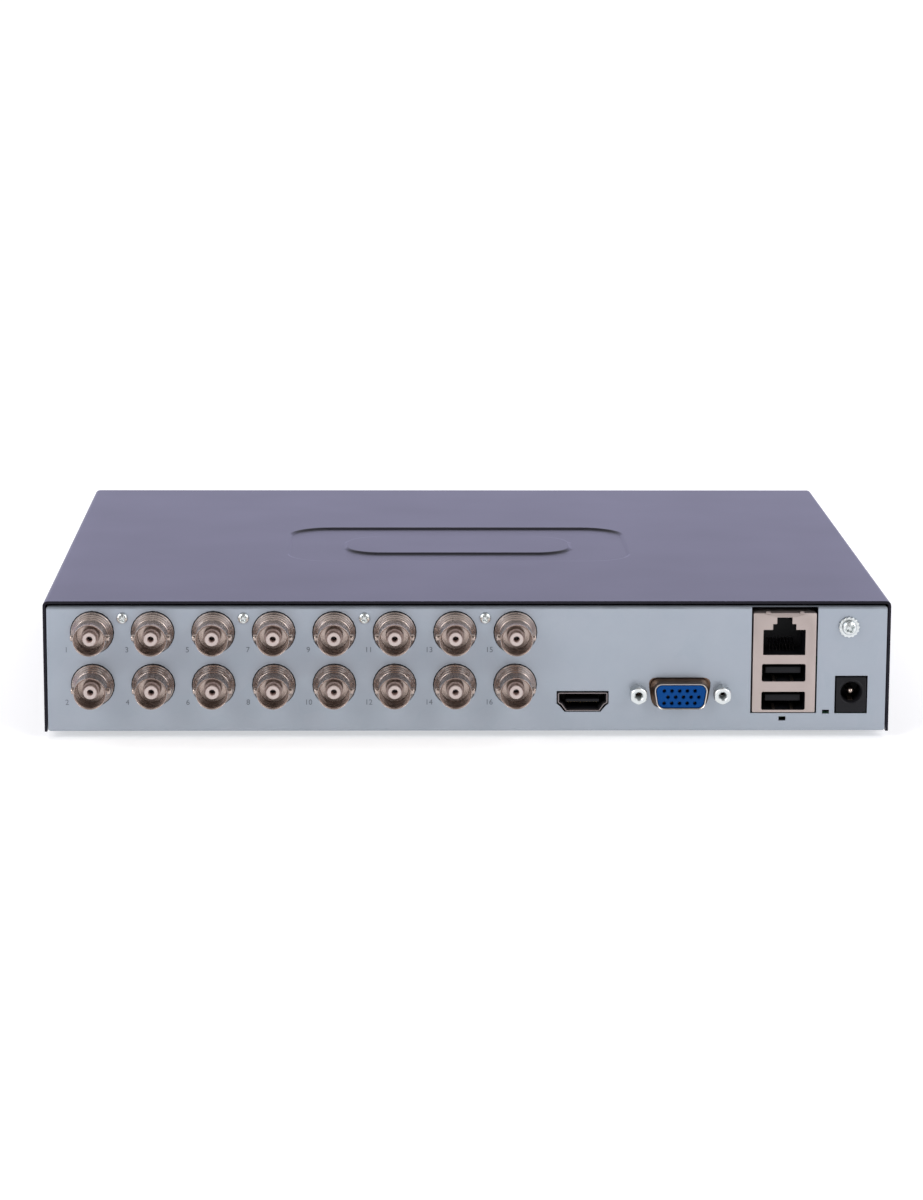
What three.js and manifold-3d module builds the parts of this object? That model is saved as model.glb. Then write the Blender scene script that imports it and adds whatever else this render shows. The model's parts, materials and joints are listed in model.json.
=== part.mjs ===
// A video recorder for sixteen cameras: a folded steel case with its sockets on the rear panel, a moulded
// fascia at the front, and a main board and a disk drive inside. Millimetres. +X runs to the right as the
// rear panel is faced, +Y from the rear panel to the fascia, +Z up from the undersides of the feet.

import * as THREE from 'three';
import { mergeVertices } from 'three/addons/utils/BufferGeometryUtils.js';
import Module from 'manifold-3d';

const wasm = await Module();
wasm.setup();

// Case
const caseWidth = 252;
const caseDepth = 203;
const caseHeight = 39.6;
const footHeight = 2.4;
const sheet = 0.8;
const bend = 1.5;
const gap = 0.3;
const panelHeight = 38.15;
const jackReach = 12.2;
const fasciaProud = 2;

// Coaxial jacks: eight columns of two
const jackColumns = 8;
const jackPitch = 17.94;
const firstJackX = -111.47;
const jackHeights = [ 30.15, 14.19 ];
const flangeRadius = 6.25;
const barrelRadius = 4.85;
const mouthRadius = 4.35;
const insulatorRadius = 2.2;
const blockScrewHeight = 34.5;

// Other sockets: places across the panel and heights above its lower edge
const boardTopHeight = 5.5;
const digitalVideo = { left: 26.9, right: 41.75, low: 6.3, high: 11.95, stepHeight: 8, stepIn: 2.4 };
const analogVideo = {
	x: 63.3, height: 11.75, screwSpacing: 24.99, rimWidth: 16.5, rimHeight: 7.7, reach: 6,
};
const stack = { left: 85, right: 103.8, low: 5.8, high: 36.05, depth: 22, reach: 0.4 };
const powerJack = {
	left: 110.1, right: 119.1, low: 5.8, high: 16.5, depth: 12, holeX: 114.6, holeHeight: 12,
};
const earth = { x: 113.5, height: 31.8, screwRadius: 1.5, headRadius: 2.3, washerRadius: 3.3 };

// Disk drive, 3.5 inch size, lying along X at the front
const drive = { left: -110, rear: -10.5, low: 4.7, width: 147, depth: 101.6, height: 26.1 };
const platterRadius = 47.5;
const spindle = { x: drive.left + 50.8, y: drive.rear + 50.8 };
const pivot = { x: spindle.x + 66, y: spindle.y - 28 };
const armLength = 56;
const parkedAngle = 112.5;

// Derived places
const panelY = - ( jackReach + caseDepth + fasciaProud ) / 2 + jackReach;
const panelInnerY = panelY + sheet;
const coverFrontY = panelY + caseDepth;
const fasciaFrontY = coverFrontY + fasciaProud;
const caseTop = footHeight + caseHeight;
const halfWidth = caseWidth / 2;
const chassisHalf = halfWidth - sheet - gap;
const chassisFrontY = coverFrontY - 8.6;
const floorTop = footHeight + sheet;
const boardTop = footHeight + boardTopHeight;
const boardThickness = 1.6;
const level = ( height ) => footHeight + height;

// ---- Solids ------------------------------------------------------------------------------------------

// A closed geometry as a solid: its shared corners are merged and collapsed triangles are dropped.
function solidOf( geometry ) {

	geometry.deleteAttribute( 'normal' );
	geometry.deleteAttribute( 'uv' );
	const merged = mergeVertices( geometry, 1e-4 );
	const corners = merged.index.array;
	const kept = [];
	for ( let i = 0; i < corners.length; i += 3 ) {

		const [ a, b, c ] = corners.subarray( i, i + 3 );
		if ( a !== b && b !== c && c !== a ) kept.push( a, b, c );

	}

	const vertProperties = merged.attributes.position.array;
	const triVerts = new Uint32Array( kept );
	return new wasm.Manifold( new wasm.Mesh( { numProp: 3, vertProperties, triVerts } ) );

}

// A box between two opposite corners.
function box( [ x0, y0, z0 ], [ x1, y1, z1 ] ) {

	const geometry = new THREE.BoxGeometry( x1 - x0, y1 - y0, z1 - z0 );
	return solidOf( geometry.translate( ( x0 + x1 ) / 2, ( y0 + y1 ) / 2, ( z0 + z1 ) / 2 ) );

}

// A solid of revolution whose profile holds [ radius, distance out of the rear panel ] pairs. Its axis
// runs along -Y from the panel's outer face.
function turnedOut( profile, segments ) {

	const points = profile.map( ( [ radius, out ] ) => new THREE.Vector2( radius, out ) );
	const geometry = new THREE.LatheGeometry( points, segments );
	return solidOf( geometry.rotateX( Math.PI ).translate( 0, panelY, 0 ) );

}

// A solid of revolution about the vertical, whose profile holds [ radius, z ] pairs.
function turnedUp( profile, segments ) {

	const points = profile.map( ( [ radius, z ] ) => new THREE.Vector2( radius, z ) );
	return solidOf( new THREE.LatheGeometry( points, segments ).rotateX( Math.PI / 2 ) );

}

// A round bar out of the rear panel, from one distance to another.
function barOut( radius, from, to, segments = 12 ) {

	return turnedOut( [ [ 0, from ], [ radius, from ], [ radius, to ], [ 0, to ] ], segments );

}

// An outline in X and Z carried out of the rear panel, from one distance to another.
function carriedOut( shape, from, to ) {

	const options = { depth: to - from, bevelEnabled: false, curveSegments: 4 };
	const geometry = new THREE.ExtrudeGeometry( shape, options );
	return solidOf( geometry.rotateX( Math.PI / 2 ).translate( 0, panelY - from, 0 ) );

}

// An outline in X and Y carried upwards.
function carriedUp( shape, low, high ) {

	const options = { depth: high - low, bevelEnabled: false, curveSegments: 6 };
	return solidOf( new THREE.ExtrudeGeometry( shape, options ).translate( 0, 0, low ) );

}

// An outline in Y and Z carried across the case from x0 to x1.
function carriedAcross( shape, x0, x1 ) {

	const options = { depth: x1 - x0, bevelEnabled: false, curveSegments: 3 };
	const geometry = new THREE.ExtrudeGeometry( shape, options );
	return solidOf( geometry.rotateZ( Math.PI / 2 ).rotateY( Math.PI / 2 ).translate( x0, 0, 0 ) );

}

// A closed outline through the given corners.
function outline( corners ) {

	return new THREE.Shape( corners.map( ( [ a, b ] ) => new THREE.Vector2( a, b ) ) );

}

// A rectangle with round corners.
function roundedOutline( x0, y0, x1, y1, radius ) {

	const shape = new THREE.Shape();
	shape.absarc( x1 - radius, y0 + radius, radius, - Math.PI / 2, 0 );
	shape.absarc( x1 - radius, y1 - radius, radius, 0, Math.PI / 2 );
	shape.absarc( x0 + radius, y1 - radius, radius, Math.PI / 2, Math.PI );
	shape.absarc( x0 + radius, y0 + radius, radius, Math.PI, 1.5 * Math.PI );
	return shape;

}

// The D outline of the analog video socket about its centre: wider at the top, with round corners.
function shellOutline( width, height ) {

	const radius = height * 0.3;
	const slant = 0.17 * height;
	const halfTop = width / 2;
	const halfBottom = width / 2 - slant;
	const top = height / 2;
	const shape = new THREE.Shape();
	shape.moveTo( - halfBottom + radius, - top );
	shape.lineTo( halfBottom - radius, - top );
	shape.quadraticCurveTo( halfBottom, - top, halfBottom + slant * 0.3, - top + radius );
	shape.lineTo( halfTop - slant * 0.3, top - radius );
	shape.quadraticCurveTo( halfTop, top, halfTop - radius, top );
	shape.lineTo( - halfTop + radius, top );
	shape.quadraticCurveTo( - halfTop, top, - halfTop + slant * 0.3, top - radius );
	shape.lineTo( - halfBottom - slant * 0.3, - top + radius );
	shape.quadraticCurveTo( - halfBottom, - top, - halfBottom + radius, - top );
	return shape;

}

const joined = ( solids ) => solids.reduce( ( whole, solid ) => whole.add( solid ) );
const cutBy = ( solid, cutters ) => cutters.reduce( ( whole, cutter ) => whole.subtract( cutter ), solid );

// ---- Materials ---------------------------------------------------------------------------------------

function finish( color, roughness, metalness ) {

	return new THREE.MeshStandardMaterial( { color, roughness, metalness } );

}

const powderCoat = finish( 0x1c1a24, 0.4, 0 );
const galvanised = finish( 0xa0a7b2, 0.45, 0.8 );
const nickel = finish( 0xb4a096, 0.3, 0.9 );
const zinc = finish( 0xc8c8cc, 0.3, 0.9 );
const goldPlate = finish( 0xb09060, 0.35, 0.9 );
const tinPlate = finish( 0xbeafaa, 0.4, 0.8 );
const blackPlastic = finish( 0x201e24, 0.5, 0 );
const bluePlastic = finish( 0x14559b, 0.4, 0 );
const fasciaPlastic = finish( 0x17171b, 0.3, 0 );
const smokedPlastic = finish( 0x2a1418, 0.15, 0 );
const clearPlastic = finish( 0xe8eef2, 0.2, 0 );
const rubber = finish( 0x1c1c1c, 0.8, 0 );
const boardGreen = finish( 0x1d5a38, 0.5, 0 );
const castAluminium = finish( 0x9a9da2, 0.5, 0.8 );
const mirrorDisc = finish( 0xd8d8dc, 0.08, 1 );
const cableRed = finish( 0xa0201c, 0.5, 0 );
const cableBlack = finish( 0x18181a, 0.6, 0 );

const recorder = new THREE.Group();

// Adds a solid to the recorder as a named piece, moved to its place.
function piece( name, solid, material, x = 0, y = 0, z = 0 ) {

	const mesh = solid.getMesh();
	const geometry = new THREE.BufferGeometry();
	geometry.setAttribute( 'position', new THREE.BufferAttribute( mesh.vertProperties, 3 ) );
	geometry.setIndex( new THREE.BufferAttribute( mesh.triVerts, 1 ) );
	geometry.computeVertexNormals();
	const node = new THREE.Mesh( geometry, material );
	node.name = name;
	node.position.set( x, y, z );
	recorder.add( node );

}

// ---- Cover -------------------------------------------------------------------------------------------

const coverScrew = { y: 42, height: 7.2, headRadius: 3, holeRadius: 3.3, shankRadius: 1.5, shankReach: 6 };
const vent = { count: 9, pitch: 5, width: 2, low: 12, high: 30, firstY: - 50 };

// A round bar along X.
function barAcross( radius, x0, x1, y, z, segments = 12 ) {

	const geometry = new THREE.CylinderGeometry( radius, radius, x1 - x0, segments );
	return solidOf( geometry.rotateZ( Math.PI / 2 ).translate( ( x0 + x1 ) / 2, y, z ) );

}

// One folded sheet: a top and two sides that reach down to the chassis's lower edge.
function coverSolid() {

	const inner = bend - sheet;
	const shape = new THREE.Shape();
	shape.moveTo( - halfWidth, footHeight );
	shape.absarc( - halfWidth + bend, caseTop - bend, bend, Math.PI, Math.PI / 2, true );
	shape.absarc( halfWidth - bend, caseTop - bend, bend, Math.PI / 2, 0, true );
	shape.lineTo( halfWidth, footHeight );
	shape.lineTo( halfWidth - sheet, footHeight );
	shape.absarc( halfWidth - bend, caseTop - bend, inner, 0, Math.PI / 2 );
	shape.absarc( - halfWidth + bend, caseTop - bend, inner, Math.PI / 2, Math.PI );
	shape.lineTo( - halfWidth + sheet, footHeight );
	const folded = carriedOut( shape, - caseDepth, 0 );
	const slots = [];
	for ( let i = 0; i < vent.count; i ++ ) {

		const y = vent.firstY + i * vent.pitch;
		for ( const x of [ - halfWidth, halfWidth - 2 ] ) {

			slots.push( box( [ x - 1, y, level( vent.low ) ], [ x + 3, y + vent.width, level( vent.high ) ] ) );

		}

	}

	const screwZ = level( coverScrew.height );
	const hole = barAcross( coverScrew.holeRadius, - caseWidth, caseWidth, coverScrew.y, screwZ, 16 );
	return cutBy( folded, [ ...slots, hole ] );

}

piece( 'top_cover', coverSolid(), powderCoat );

for ( const [ side, name ] of [ [ - 1, 'cover_screw_left' ], [ 1, 'cover_screw_right' ] ] ) {

	const z = level( coverScrew.height );
	const headIn = side * ( halfWidth - sheet );
	const ends = [ headIn, side * halfWidth ].sort( ( a, b ) => a - b );
	const shankEnds = [ headIn, headIn - side * coverScrew.shankReach ].sort( ( a, b ) => a - b );
	const head = barAcross( coverScrew.headRadius, ...ends, coverScrew.y, z, 16 );
	const shank = barAcross( coverScrew.shankRadius, ...shankEnds, coverScrew.y, z, 10 );
	piece( name, head.add( shank ), zinc );

}

// ---- Chassis -----------------------------------------------------------------------------------------

const chassisBend = 1;
const rearFlange = 8;
const frontWallHeight = 35;
const panelHoleRadius = 6.55;
const panelHoleSegments = 24;
const blockScrewHoleRadius = 1.15;
const digitalClearance = 0.35;
const stackClearance = 0.5;
const powerClearance = 0.4;
const stackWeb = 0.35;
const jackScrewHole = 1.7;
const analogClearance = { width: 2.8, height: 1.6 };
const earthClearance = 0.4;
const sideFlange = { from: 12, to: 6, low: 0.5, high: 12 };
const slots = [ { x: 94.1, low: 3.2, high: 4.5 }, { x: 107.1, low: 5.3, high: 6.5 } ];
const slotHalf = 1.05;
const guideWindow = { left: 58, right: 112, low: 13, high: 29 };
const feetAt = [ [ - 104, - 76 ], [ 104, - 76 ], [ - 104, 78 ], [ 104, 78 ] ];
const footStemRadius = 2;
const standoffRadius = 3;
const boardScrewAt = [ [ - 112, - 66 ], [ - 30, - 22 ], [ 60, - 22 ], [ 116, - 24 ] ];

const jackPlaces = [];
for ( let column = 0; column < jackColumns; column ++ ) {

	for ( const height of jackHeights ) {

		jackPlaces.push( { x: firstJackX + column * jackPitch, z: level( height ) } );

	}

}

const blockPlaces = [];
for ( let i = 0; i < jackColumns / 2; i ++ ) blockPlaces.push( firstJackX + ( 2 * i + 0.5 ) * jackPitch );

// The digital video socket's outline: full width above, stepped in below. A margin makes it larger.
function digitalOutline( margin ) {

	const { left, right, low, high, stepHeight, stepIn } = digitalVideo;
	const step = level( stepHeight );
	return outline( [
		[ left + stepIn - margin, level( low ) - margin ],
		[ right - stepIn + margin, level( low ) - margin ],
		[ right - 1 + margin, step - margin ],
		[ right + margin, step + 0.5 ],
		[ right + margin, level( high ) + margin ],
		[ left - margin, level( high ) + margin ],
		[ left - margin, step + 0.5 ],
		[ left + 1 - margin, step - margin ],
	] );

}

function panelCutters() {

	const through = [ - 3, 1 ];
	const { x, height, screwSpacing, rimWidth, rimHeight } = analogVideo;
	const cutters = jackPlaces.map( ( place ) => barOut( panelHoleRadius, ...through, panelHoleSegments )
		.translate( place.x, 0, place.z ) );
	for ( const blockX of blockPlaces ) {

		const hole = barOut( blockScrewHoleRadius, ...through );
		cutters.push( hole.translate( blockX, 0, level( blockScrewHeight ) ) );

	}

	for ( const side of [ - 0.5, 0.5 ] ) {

		const hole = barOut( jackScrewHole, ...through );
		cutters.push( hole.translate( x + side * screwSpacing, 0, level( height ) ) );

	}

	const dHole = carriedOut(
		shellOutline( rimWidth + analogClearance.width, rimHeight + analogClearance.height ), ...through );
	cutters.push( dHole.translate( x, 0, level( height ) ) );
	cutters.push( carriedOut( digitalOutline( digitalClearance ), ...through ) );
	cutters.push( box(
		[ stack.left - stackClearance, panelY - 1, level( stack.low ) - gap ],
		[ stack.right + stackClearance, panelY + 3, level( panelHeight ) - stackWeb ] ) );
	cutters.push( box(
		[ powerJack.left - powerClearance, panelY - 1, level( powerJack.low ) - powerClearance ],
		[ powerJack.right + powerClearance, panelY + 3, level( powerJack.high ) + powerClearance ] ) );
	const earthHole = barOut( earth.screwRadius + earthClearance, ...through );
	cutters.push( earthHole.translate( earth.x, 0, level( earth.height ) ) );
	for ( const slot of slots ) {

		cutters.push( box(
			[ slot.x - slotHalf, panelY - 1, level( slot.low ) ],
			[ slot.x + slotHalf, panelY + 3, level( slot.high ) ] ) );

	}

	return cutters;

}

// One folded sheet: rear panel with a flange turned inwards at its top, floor and front wall, with low
// side flanges, four standoffs for the main board and stem holes for the feet.
function chassisSolid() {

	const top = level( panelHeight );
	const frontTop = level( frontWallHeight );
	const r = chassisBend;
	const inner = r - sheet;
	const quarter = Math.PI / 2;
	const shape = new THREE.Shape();
	shape.moveTo( panelY + rearFlange, top );
	shape.absarc( panelY + r, top - r, r, quarter, 2 * quarter );
	shape.absarc( panelY + r, footHeight + r, r, 2 * quarter, 3 * quarter );
	shape.absarc( chassisFrontY - r, footHeight + r, r, 3 * quarter, 4 * quarter );
	shape.lineTo( chassisFrontY, frontTop );
	shape.lineTo( chassisFrontY - sheet, frontTop );
	shape.absarc( chassisFrontY - r, footHeight + r, inner, 0, - quarter, true );
	shape.absarc( panelY + r, footHeight + r, inner, 3 * quarter, 2 * quarter, true );
	shape.absarc( panelY + r, top - r, inner, 2 * quarter, quarter, true );
	shape.lineTo( panelY + rearFlange, top - sheet );
	const folded = carriedAcross( shape, - chassisHalf, chassisHalf );
	const face = roundedOutline( - chassisHalf, footHeight, chassisHalf, top, 1 );
	const rounded = folded.intersect( carriedOut( face, - caseDepth, 1 ) );
	const solids = [ rounded ];
	for ( const side of [ - 1, 1 ] ) {

		const xs = [ side * ( chassisHalf - sheet ), side * chassisHalf ].sort( ( a, b ) => a - b );
		solids.push( box(
			[ xs[ 0 ], panelY + sideFlange.from, level( sideFlange.low ) ],
			[ xs[ 1 ], chassisFrontY - sideFlange.to, level( sideFlange.high ) ] ) );

	}

	const standoffTop = boardTop - boardThickness - gap;
	for ( const [ x, y ] of boardScrewAt ) {

		const post = turnedUp( [ [ 0, floorTop - 0.2 ], [ standoffRadius, floorTop - 0.2 ],
			[ standoffRadius, standoffTop ], [ 0, standoffTop ] ], 10 );
		solids.push( post.translate( x, y, 0 ) );

	}

	const cutters = panelCutters();
	for ( const [ x, y ] of feetAt ) {

		const radius = footStemRadius + gap;
		const hole = turnedUp( [ [ 0, 0 ], [ radius, 0 ], [ radius, 5 ], [ 0, 5 ] ], 10 );
		cutters.push( hole.translate( x, y, 0 ) );

	}

	cutters.push( box(
		[ guideWindow.left, chassisFrontY - 3, level( guideWindow.low ) ],
		[ guideWindow.right, chassisFrontY + 3, level( guideWindow.high ) ] ) );
	const screwZ = level( coverScrew.height );
	cutters.push( barAcross( coverScrew.shankRadius + gap, - caseWidth, caseWidth, coverScrew.y, screwZ ) );
	return cutBy( joined( solids ), cutters );

}

piece( 'chassis', chassisSolid(), galvanised );

// ---- Feet --------------------------------------------------------------------------------------------

const footRadius = 6.5;
const footTop = footHeight - gap;

function footSolid() {

	return turnedUp( [ [ 0, 0 ], [ footRadius - 0.8, 0 ], [ footRadius, 0.8 ], [ footRadius, footTop ],
		[ footStemRadius, footTop ], [ footStemRadius, floorTop + 1 ], [ 0, floorTop + 1 ] ], 16 );

}

feetAt.forEach( ( [ x, y ], i ) => piece( `foot_${ i + 1 }`, footSolid(), rubber, x, y ) );

// ---- Coaxial jacks -----------------------------------------------------------------------------------

const blockFace = - sheet - gap;
const blockDepth = 14;
const blockHalf = jackPitch - 0.45;
const blockLow = boardTopHeight + gap;
const blockHigh = 36.9;
const blockHoleDepth = 6;
const socketDepth = 8.5;
const stepRadius = 5.6;
const shellSegments = 12;
const lug = { radius: 1, tip: 5.8, out: 7.7 };
const insulator = { setBack: 1.6, boreRadius: 0.8, boreDepth: 4 };
const jackStep = { from: 0.7, to: 2 };

// Shell: flange, a coned step, barrel, the socket's wall and floor, and two bayonet lugs.
function jackShell() {

	const floor = jackReach - socketDepth;
	const throat = insulatorRadius + gap;
	const body = turnedOut( [
		[ throat, - sheet ], [ flangeRadius, - sheet ], [ flangeRadius, jackStep.from ],
		[ stepRadius, jackStep.from ], [ barrelRadius, jackStep.to ], [ barrelRadius, jackReach ],
		[ mouthRadius, jackReach ],
		[ mouthRadius, floor ], [ throat, floor ], [ throat, - sheet ] ], shellSegments );
	const lugs = barAcross( lug.radius, - lug.tip, lug.tip, panelY - lug.out, 0, 6 );
	const bore = barOut( mouthRadius + 0.2, lug.out - 2, lug.out + 2, shellSegments );
	return body.add( lugs.subtract( bore ) );

}

jackPlaces.forEach( ( { x, z }, i ) => {

	piece( `bnc_shell_${ String( i + 1 ).padStart( 2, '0' ) }`, jackShell(), nickel, x, 0, z );

} );

// Block: moulding behind the panel that carries two by two jacks, with one insulator out through each.
function jackBlock() {

	const body = box(
		[ - blockHalf, panelY - blockFace, level( blockLow ) ],
		[ blockHalf, panelY - blockFace + blockDepth, level( blockHigh ) ] );
	const solids = [ body ];
	for ( const side of [ - 0.5, 0.5 ] ) {

		for ( const height of jackHeights ) {

			const { setBack, boreRadius, boreDepth } = insulator;
			const out = jackReach - setBack;
			const tube = [ [ 0, blockFace - 1 ], [ insulatorRadius, blockFace - 1 ], [ insulatorRadius, out ],
				[ boreRadius, out ], [ boreRadius, out - boreDepth ], [ 0, out - boreDepth ] ];
			solids.push( turnedOut( tube, 8 ).translate( side * jackPitch, 0, level( height ) ) );

		}

	}

	const hole = barOut( blockScrewHoleRadius, blockFace - blockHoleDepth, 1 );
	return cutBy( joined( solids ), [ hole.translate( 0, 0, level( blockScrewHeight ) ) ] );

}

const blockFastener = { shankRadius: 0.8, shankReach: 6, headRadius: 1.65, rim: 0.8, top: 1.35 };

// Small screw with a domed head, through the panel into the block.
function blockScrew() {

	const { shankRadius, shankReach, headRadius, rim, top } = blockFastener;
	return turnedOut( [ [ 0, - shankReach ], [ shankRadius, - shankReach ], [ shankRadius, gap ],
		[ headRadius, gap ], [ headRadius, rim ], [ headRadius / 1.5, top - 0.1 ], [ 0, top ] ], 12 );

}

blockPlaces.forEach( ( x, i ) => {

	piece( `bnc_block_${ i + 1 }`, jackBlock(), blackPlastic, x );
	piece( `block_screw_${ i + 1 }`, blockScrew(), zinc, x, 0, level( blockScrewHeight ) );

} );

// ---- Digital video socket ----------------------------------------------------------------------------

const shellWall = 0.5;
const shellReach = 0.6;
const digitalDepth = 11;
const digitalBlade = { half: 5, low: 8.8, high: 9.7, setBack: 0.8 };

function digitalShell() {

	const inside = carriedOut( digitalOutline( - shellWall ), - digitalDepth + 1, shellReach + 1 );
	return carriedOut( digitalOutline( 0 ), - digitalDepth, shellReach ).subtract( inside );

}

function digitalTongue() {

	const middle = ( digitalVideo.left + digitalVideo.right ) / 2;
	const { half, low, high, setBack } = digitalBlade;
	return box(
		[ middle - half, panelY + setBack, level( low ) ],
		[ middle + half, panelY + digitalDepth - 1 - gap, level( high ) ] );

}

piece( 'digital_video_shell', digitalShell(), tinPlate );
piece( 'digital_video_tongue', digitalTongue(), blackPlastic );

// ---- Analog video socket -----------------------------------------------------------------------------

const analogPlate = { width: 30.8, height: 12, from: - 1.9, to: - 1.1, radius: 1.5 };
const analogFlare = { width: 1.1, height: 0.5, to: 0.9 };
const analogWall = 0.5;
const analogBack = { half: 13, tall: 5.6, from: 2.2, to: 10 };

function analogShell() {

	const { x, rimWidth, rimHeight, reach, screwSpacing } = analogVideo;
	const { width, height, from, to, radius } = analogPlate;
	const plateShape = roundedOutline( - width / 2, - height / 2, width / 2, height / 2, radius );
	const flareShape = shellOutline( rimWidth + 2 * analogFlare.width, rimHeight + 2 * analogFlare.height );
	const boreShape = shellOutline( rimWidth - 2 * analogWall, rimHeight - 2 * analogWall );
	const plate = carriedOut( plateShape, from, to );
	const flare = carriedOut( flareShape, from, analogFlare.to );
	const rim = carriedOut( shellOutline( rimWidth, rimHeight ), from, reach );
	const bore = carriedOut( boreShape, from - 1, reach + 1 );
	const holes = [ - 0.5, 0.5 ].map( ( side ) => barOut( jackScrewHole, from - 1, to + 1 )
		.translate( side * screwSpacing, 0, 0 ) );
	return cutBy( joined( [ plate, flare, rim ] ), [ bore, ...holes ] )
		.translate( x, 0, level( analogVideo.height ) );

}

function analogInsert() {

	const { x, rimWidth, rimHeight, reach } = analogVideo;
	const inset = analogWall + gap;
	const { half, tall, from, to } = analogBack;
	const front = carriedOut( shellOutline( rimWidth - 2 * inset, rimHeight - 2 * inset ), - to, reach - 0.5 );
	const back = box( [ - half, panelY + from, - tall ], [ half, panelY + to, tall ] );
	const holes = [ - 0.5, 0.5 ].map( ( side ) => barOut( jackScrewHole, - to - 1, 0 )
		.translate( side * analogVideo.screwSpacing, 0, 0 ) );
	return cutBy( joined( [ front, back ] ), holes ).translate( x, 0, level( analogVideo.height ) );

}

const hexagonScrew = { acrossFlats: 4.85, reach: 5, shankRadius: 1.3, holeRadius: 1.2, holeFloor: 1.5 };

// Hexagon jack screw with a threaded hole in its end.
function jackScrew() {

	const { acrossFlats, reach, shankRadius, holeRadius, holeFloor } = hexagonScrew;
	const cornerRadius = acrossFlats / 2 / Math.cos( Math.PI / 6 );
	const hexagon = barOut( cornerRadius, gap, reach, 6 );
	const shank = barOut( shankRadius, - reach, 1, 10 );
	return hexagon.add( shank ).subtract( barOut( holeRadius, holeFloor, reach + 1 ) );

}

piece( 'analog_video_shell', analogShell(), goldPlate );
piece( 'analog_video_insert', analogInsert(), bluePlastic );
for ( const [ side, name ] of [ [ - 0.5, 'jack_screw_left' ], [ 0.5, 'jack_screw_right' ] ] ) {

	const x = analogVideo.x + side * analogVideo.screwSpacing;
	piece( name, jackScrew(), zinc, x, 0, level( analogVideo.height ) );

}

// ---- Network and serial stack ------------------------------------------------------------------------

const stackWall = 0.4;
const cutOut = 3;
const network = {
	left: 88, right: 100.6, low: 23.3, high: 30.95,
	steps: [ { half: 3.47, high: 32.7 }, { half: 2.27, high: 34.7 } ],
};
const serialPorts = [ { low: 15.2, high: 20.55 }, { low: 6.55, high: 12.1 } ];
const serial = { left: 87.75, right: 100.8, depth: 12 };
const serialTongue = { inset: 1.2, under: 3.2, top: 1.2, setBack: 1.5 };

// The room inside each socket of the stack, made wider all round by a margin.
function stackRooms( margin, depth, out ) {

	const middle = ( network.left + network.right ) / 2;
	const ys = [ panelY - out, panelY + depth ];
	const rooms = [ box(
		[ network.left - margin, ys[ 0 ], level( network.low ) - margin ],
		[ network.right + margin, ys[ 1 ], level( network.high ) + margin ] ) ];
	for ( const { half, high } of network.steps ) {

		rooms.push( box(
			[ middle - half - margin, ys[ 0 ], level( network.low ) ],
			[ middle + half + margin, ys[ 1 ], level( high ) + margin ] ) );

	}

	for ( const { low, high } of serialPorts ) {

		rooms.push( box(
			[ serial.left - margin, ys[ 0 ], level( low ) - margin ],
			[ serial.right + margin, ys[ 1 ], level( high ) + margin ] ) );

	}

	return rooms;

}

// Folded tin-plate shell, open at its back.
function stackShell() {

	const { left, right, low, high, depth, reach } = stack;
	const outside = box( [ left, panelY - reach, level( low ) ], [ right, panelY + depth, level( high ) ] );
	const inside = box(
		[ left + stackWall, panelY - reach + stackWall, level( low ) + stackWall ],
		[ right - stackWall, panelY + depth + 1, level( high ) - stackWall ] );
	return cutBy( outside, [ inside, ...stackRooms( 0, 2, cutOut ) ] );

}

// Black moulding inside the shell, with a hollow behind each opening and a tongue in each serial one.
function stackInsert() {

	const { left, right, low, high, depth, reach } = stack;
	const inset = stackWall + gap;
	const body = box(
		[ left + inset, panelY - reach + inset, level( low ) + inset ],
		[ right - inset, panelY + depth - 1, level( high ) - inset ] );
	const solids = [ cutBy( body, stackRooms( 0, serial.depth, cutOut ) ) ];
	for ( const { high: ceiling } of serialPorts ) {

		const { inset: side, under, top, setBack } = serialTongue;
		solids.push( box(
			[ serial.left + side, panelY + setBack, level( ceiling ) - under ],
			[ serial.right - side, panelY + serial.depth + 1, level( ceiling ) - top ] ) );

	}

	return joined( solids );

}

piece( 'stack_shell', stackShell(), tinPlate );
piece( 'stack_insert', stackInsert(), blackPlastic );

// ---- Power jack --------------------------------------------------------------------------------------

const powerBore = { radius: 3, depth: 9, pinRadius: 0.95, pinTip: - 1, reach: 0.5 };

function powerBody() {

	const { left, right, low, high, depth, holeX, holeHeight } = powerJack;
	const body = box(
		[ left, panelY - powerBore.reach, level( low ) ],
		[ right, panelY + depth, level( high ) ] );
	const bore = barOut( powerBore.radius, - powerBore.depth, powerBore.reach + 1, 20 );
	const pinHole = barOut( powerBore.pinRadius + gap, - powerBore.depth - 2, 0 );
	return cutBy( body, [ bore, pinHole ].map( ( hole ) => hole.translate( holeX, 0, level( holeHeight ) ) ) );

}

function powerPin() {

	const { depth, pinRadius, pinTip } = powerBore;
	const root = - depth - 1.7;
	return turnedOut( [ [ 0, root ], [ pinRadius, root ], [ pinRadius, pinTip - 0.6 ],
		[ pinRadius - 0.4, pinTip ], [ 0, pinTip ] ], 12 );

}

piece( 'power_jack_body', powerBody(), blackPlastic );
piece( 'power_jack_pin', powerPin(), nickel, powerJack.holeX, 0, level( powerJack.holeHeight ) );

// ---- Earth screw -------------------------------------------------------------------------------------

const washerTeeth = 16;
const washerThickness = 0.8;
const washerToothDepth = 0.4;

// Toothed lock washer.
function earthWasher() {

	const corners = [];
	for ( let i = 0; i < 2 * washerTeeth; i ++ ) {

		const radius = earth.washerRadius - ( i % 2 ) * washerToothDepth;
		const angle = i * Math.PI / washerTeeth;
		corners.push( [ radius * Math.cos( angle ), radius * Math.sin( angle ) ] );

	}

	const hole = barOut( earth.screwRadius + gap, - 1, 3 );
	return carriedOut( outline( corners ), gap, gap + washerThickness ).subtract( hole );

}

const earthShank = 6;
const earthHeadHeight = 1.6;

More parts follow.
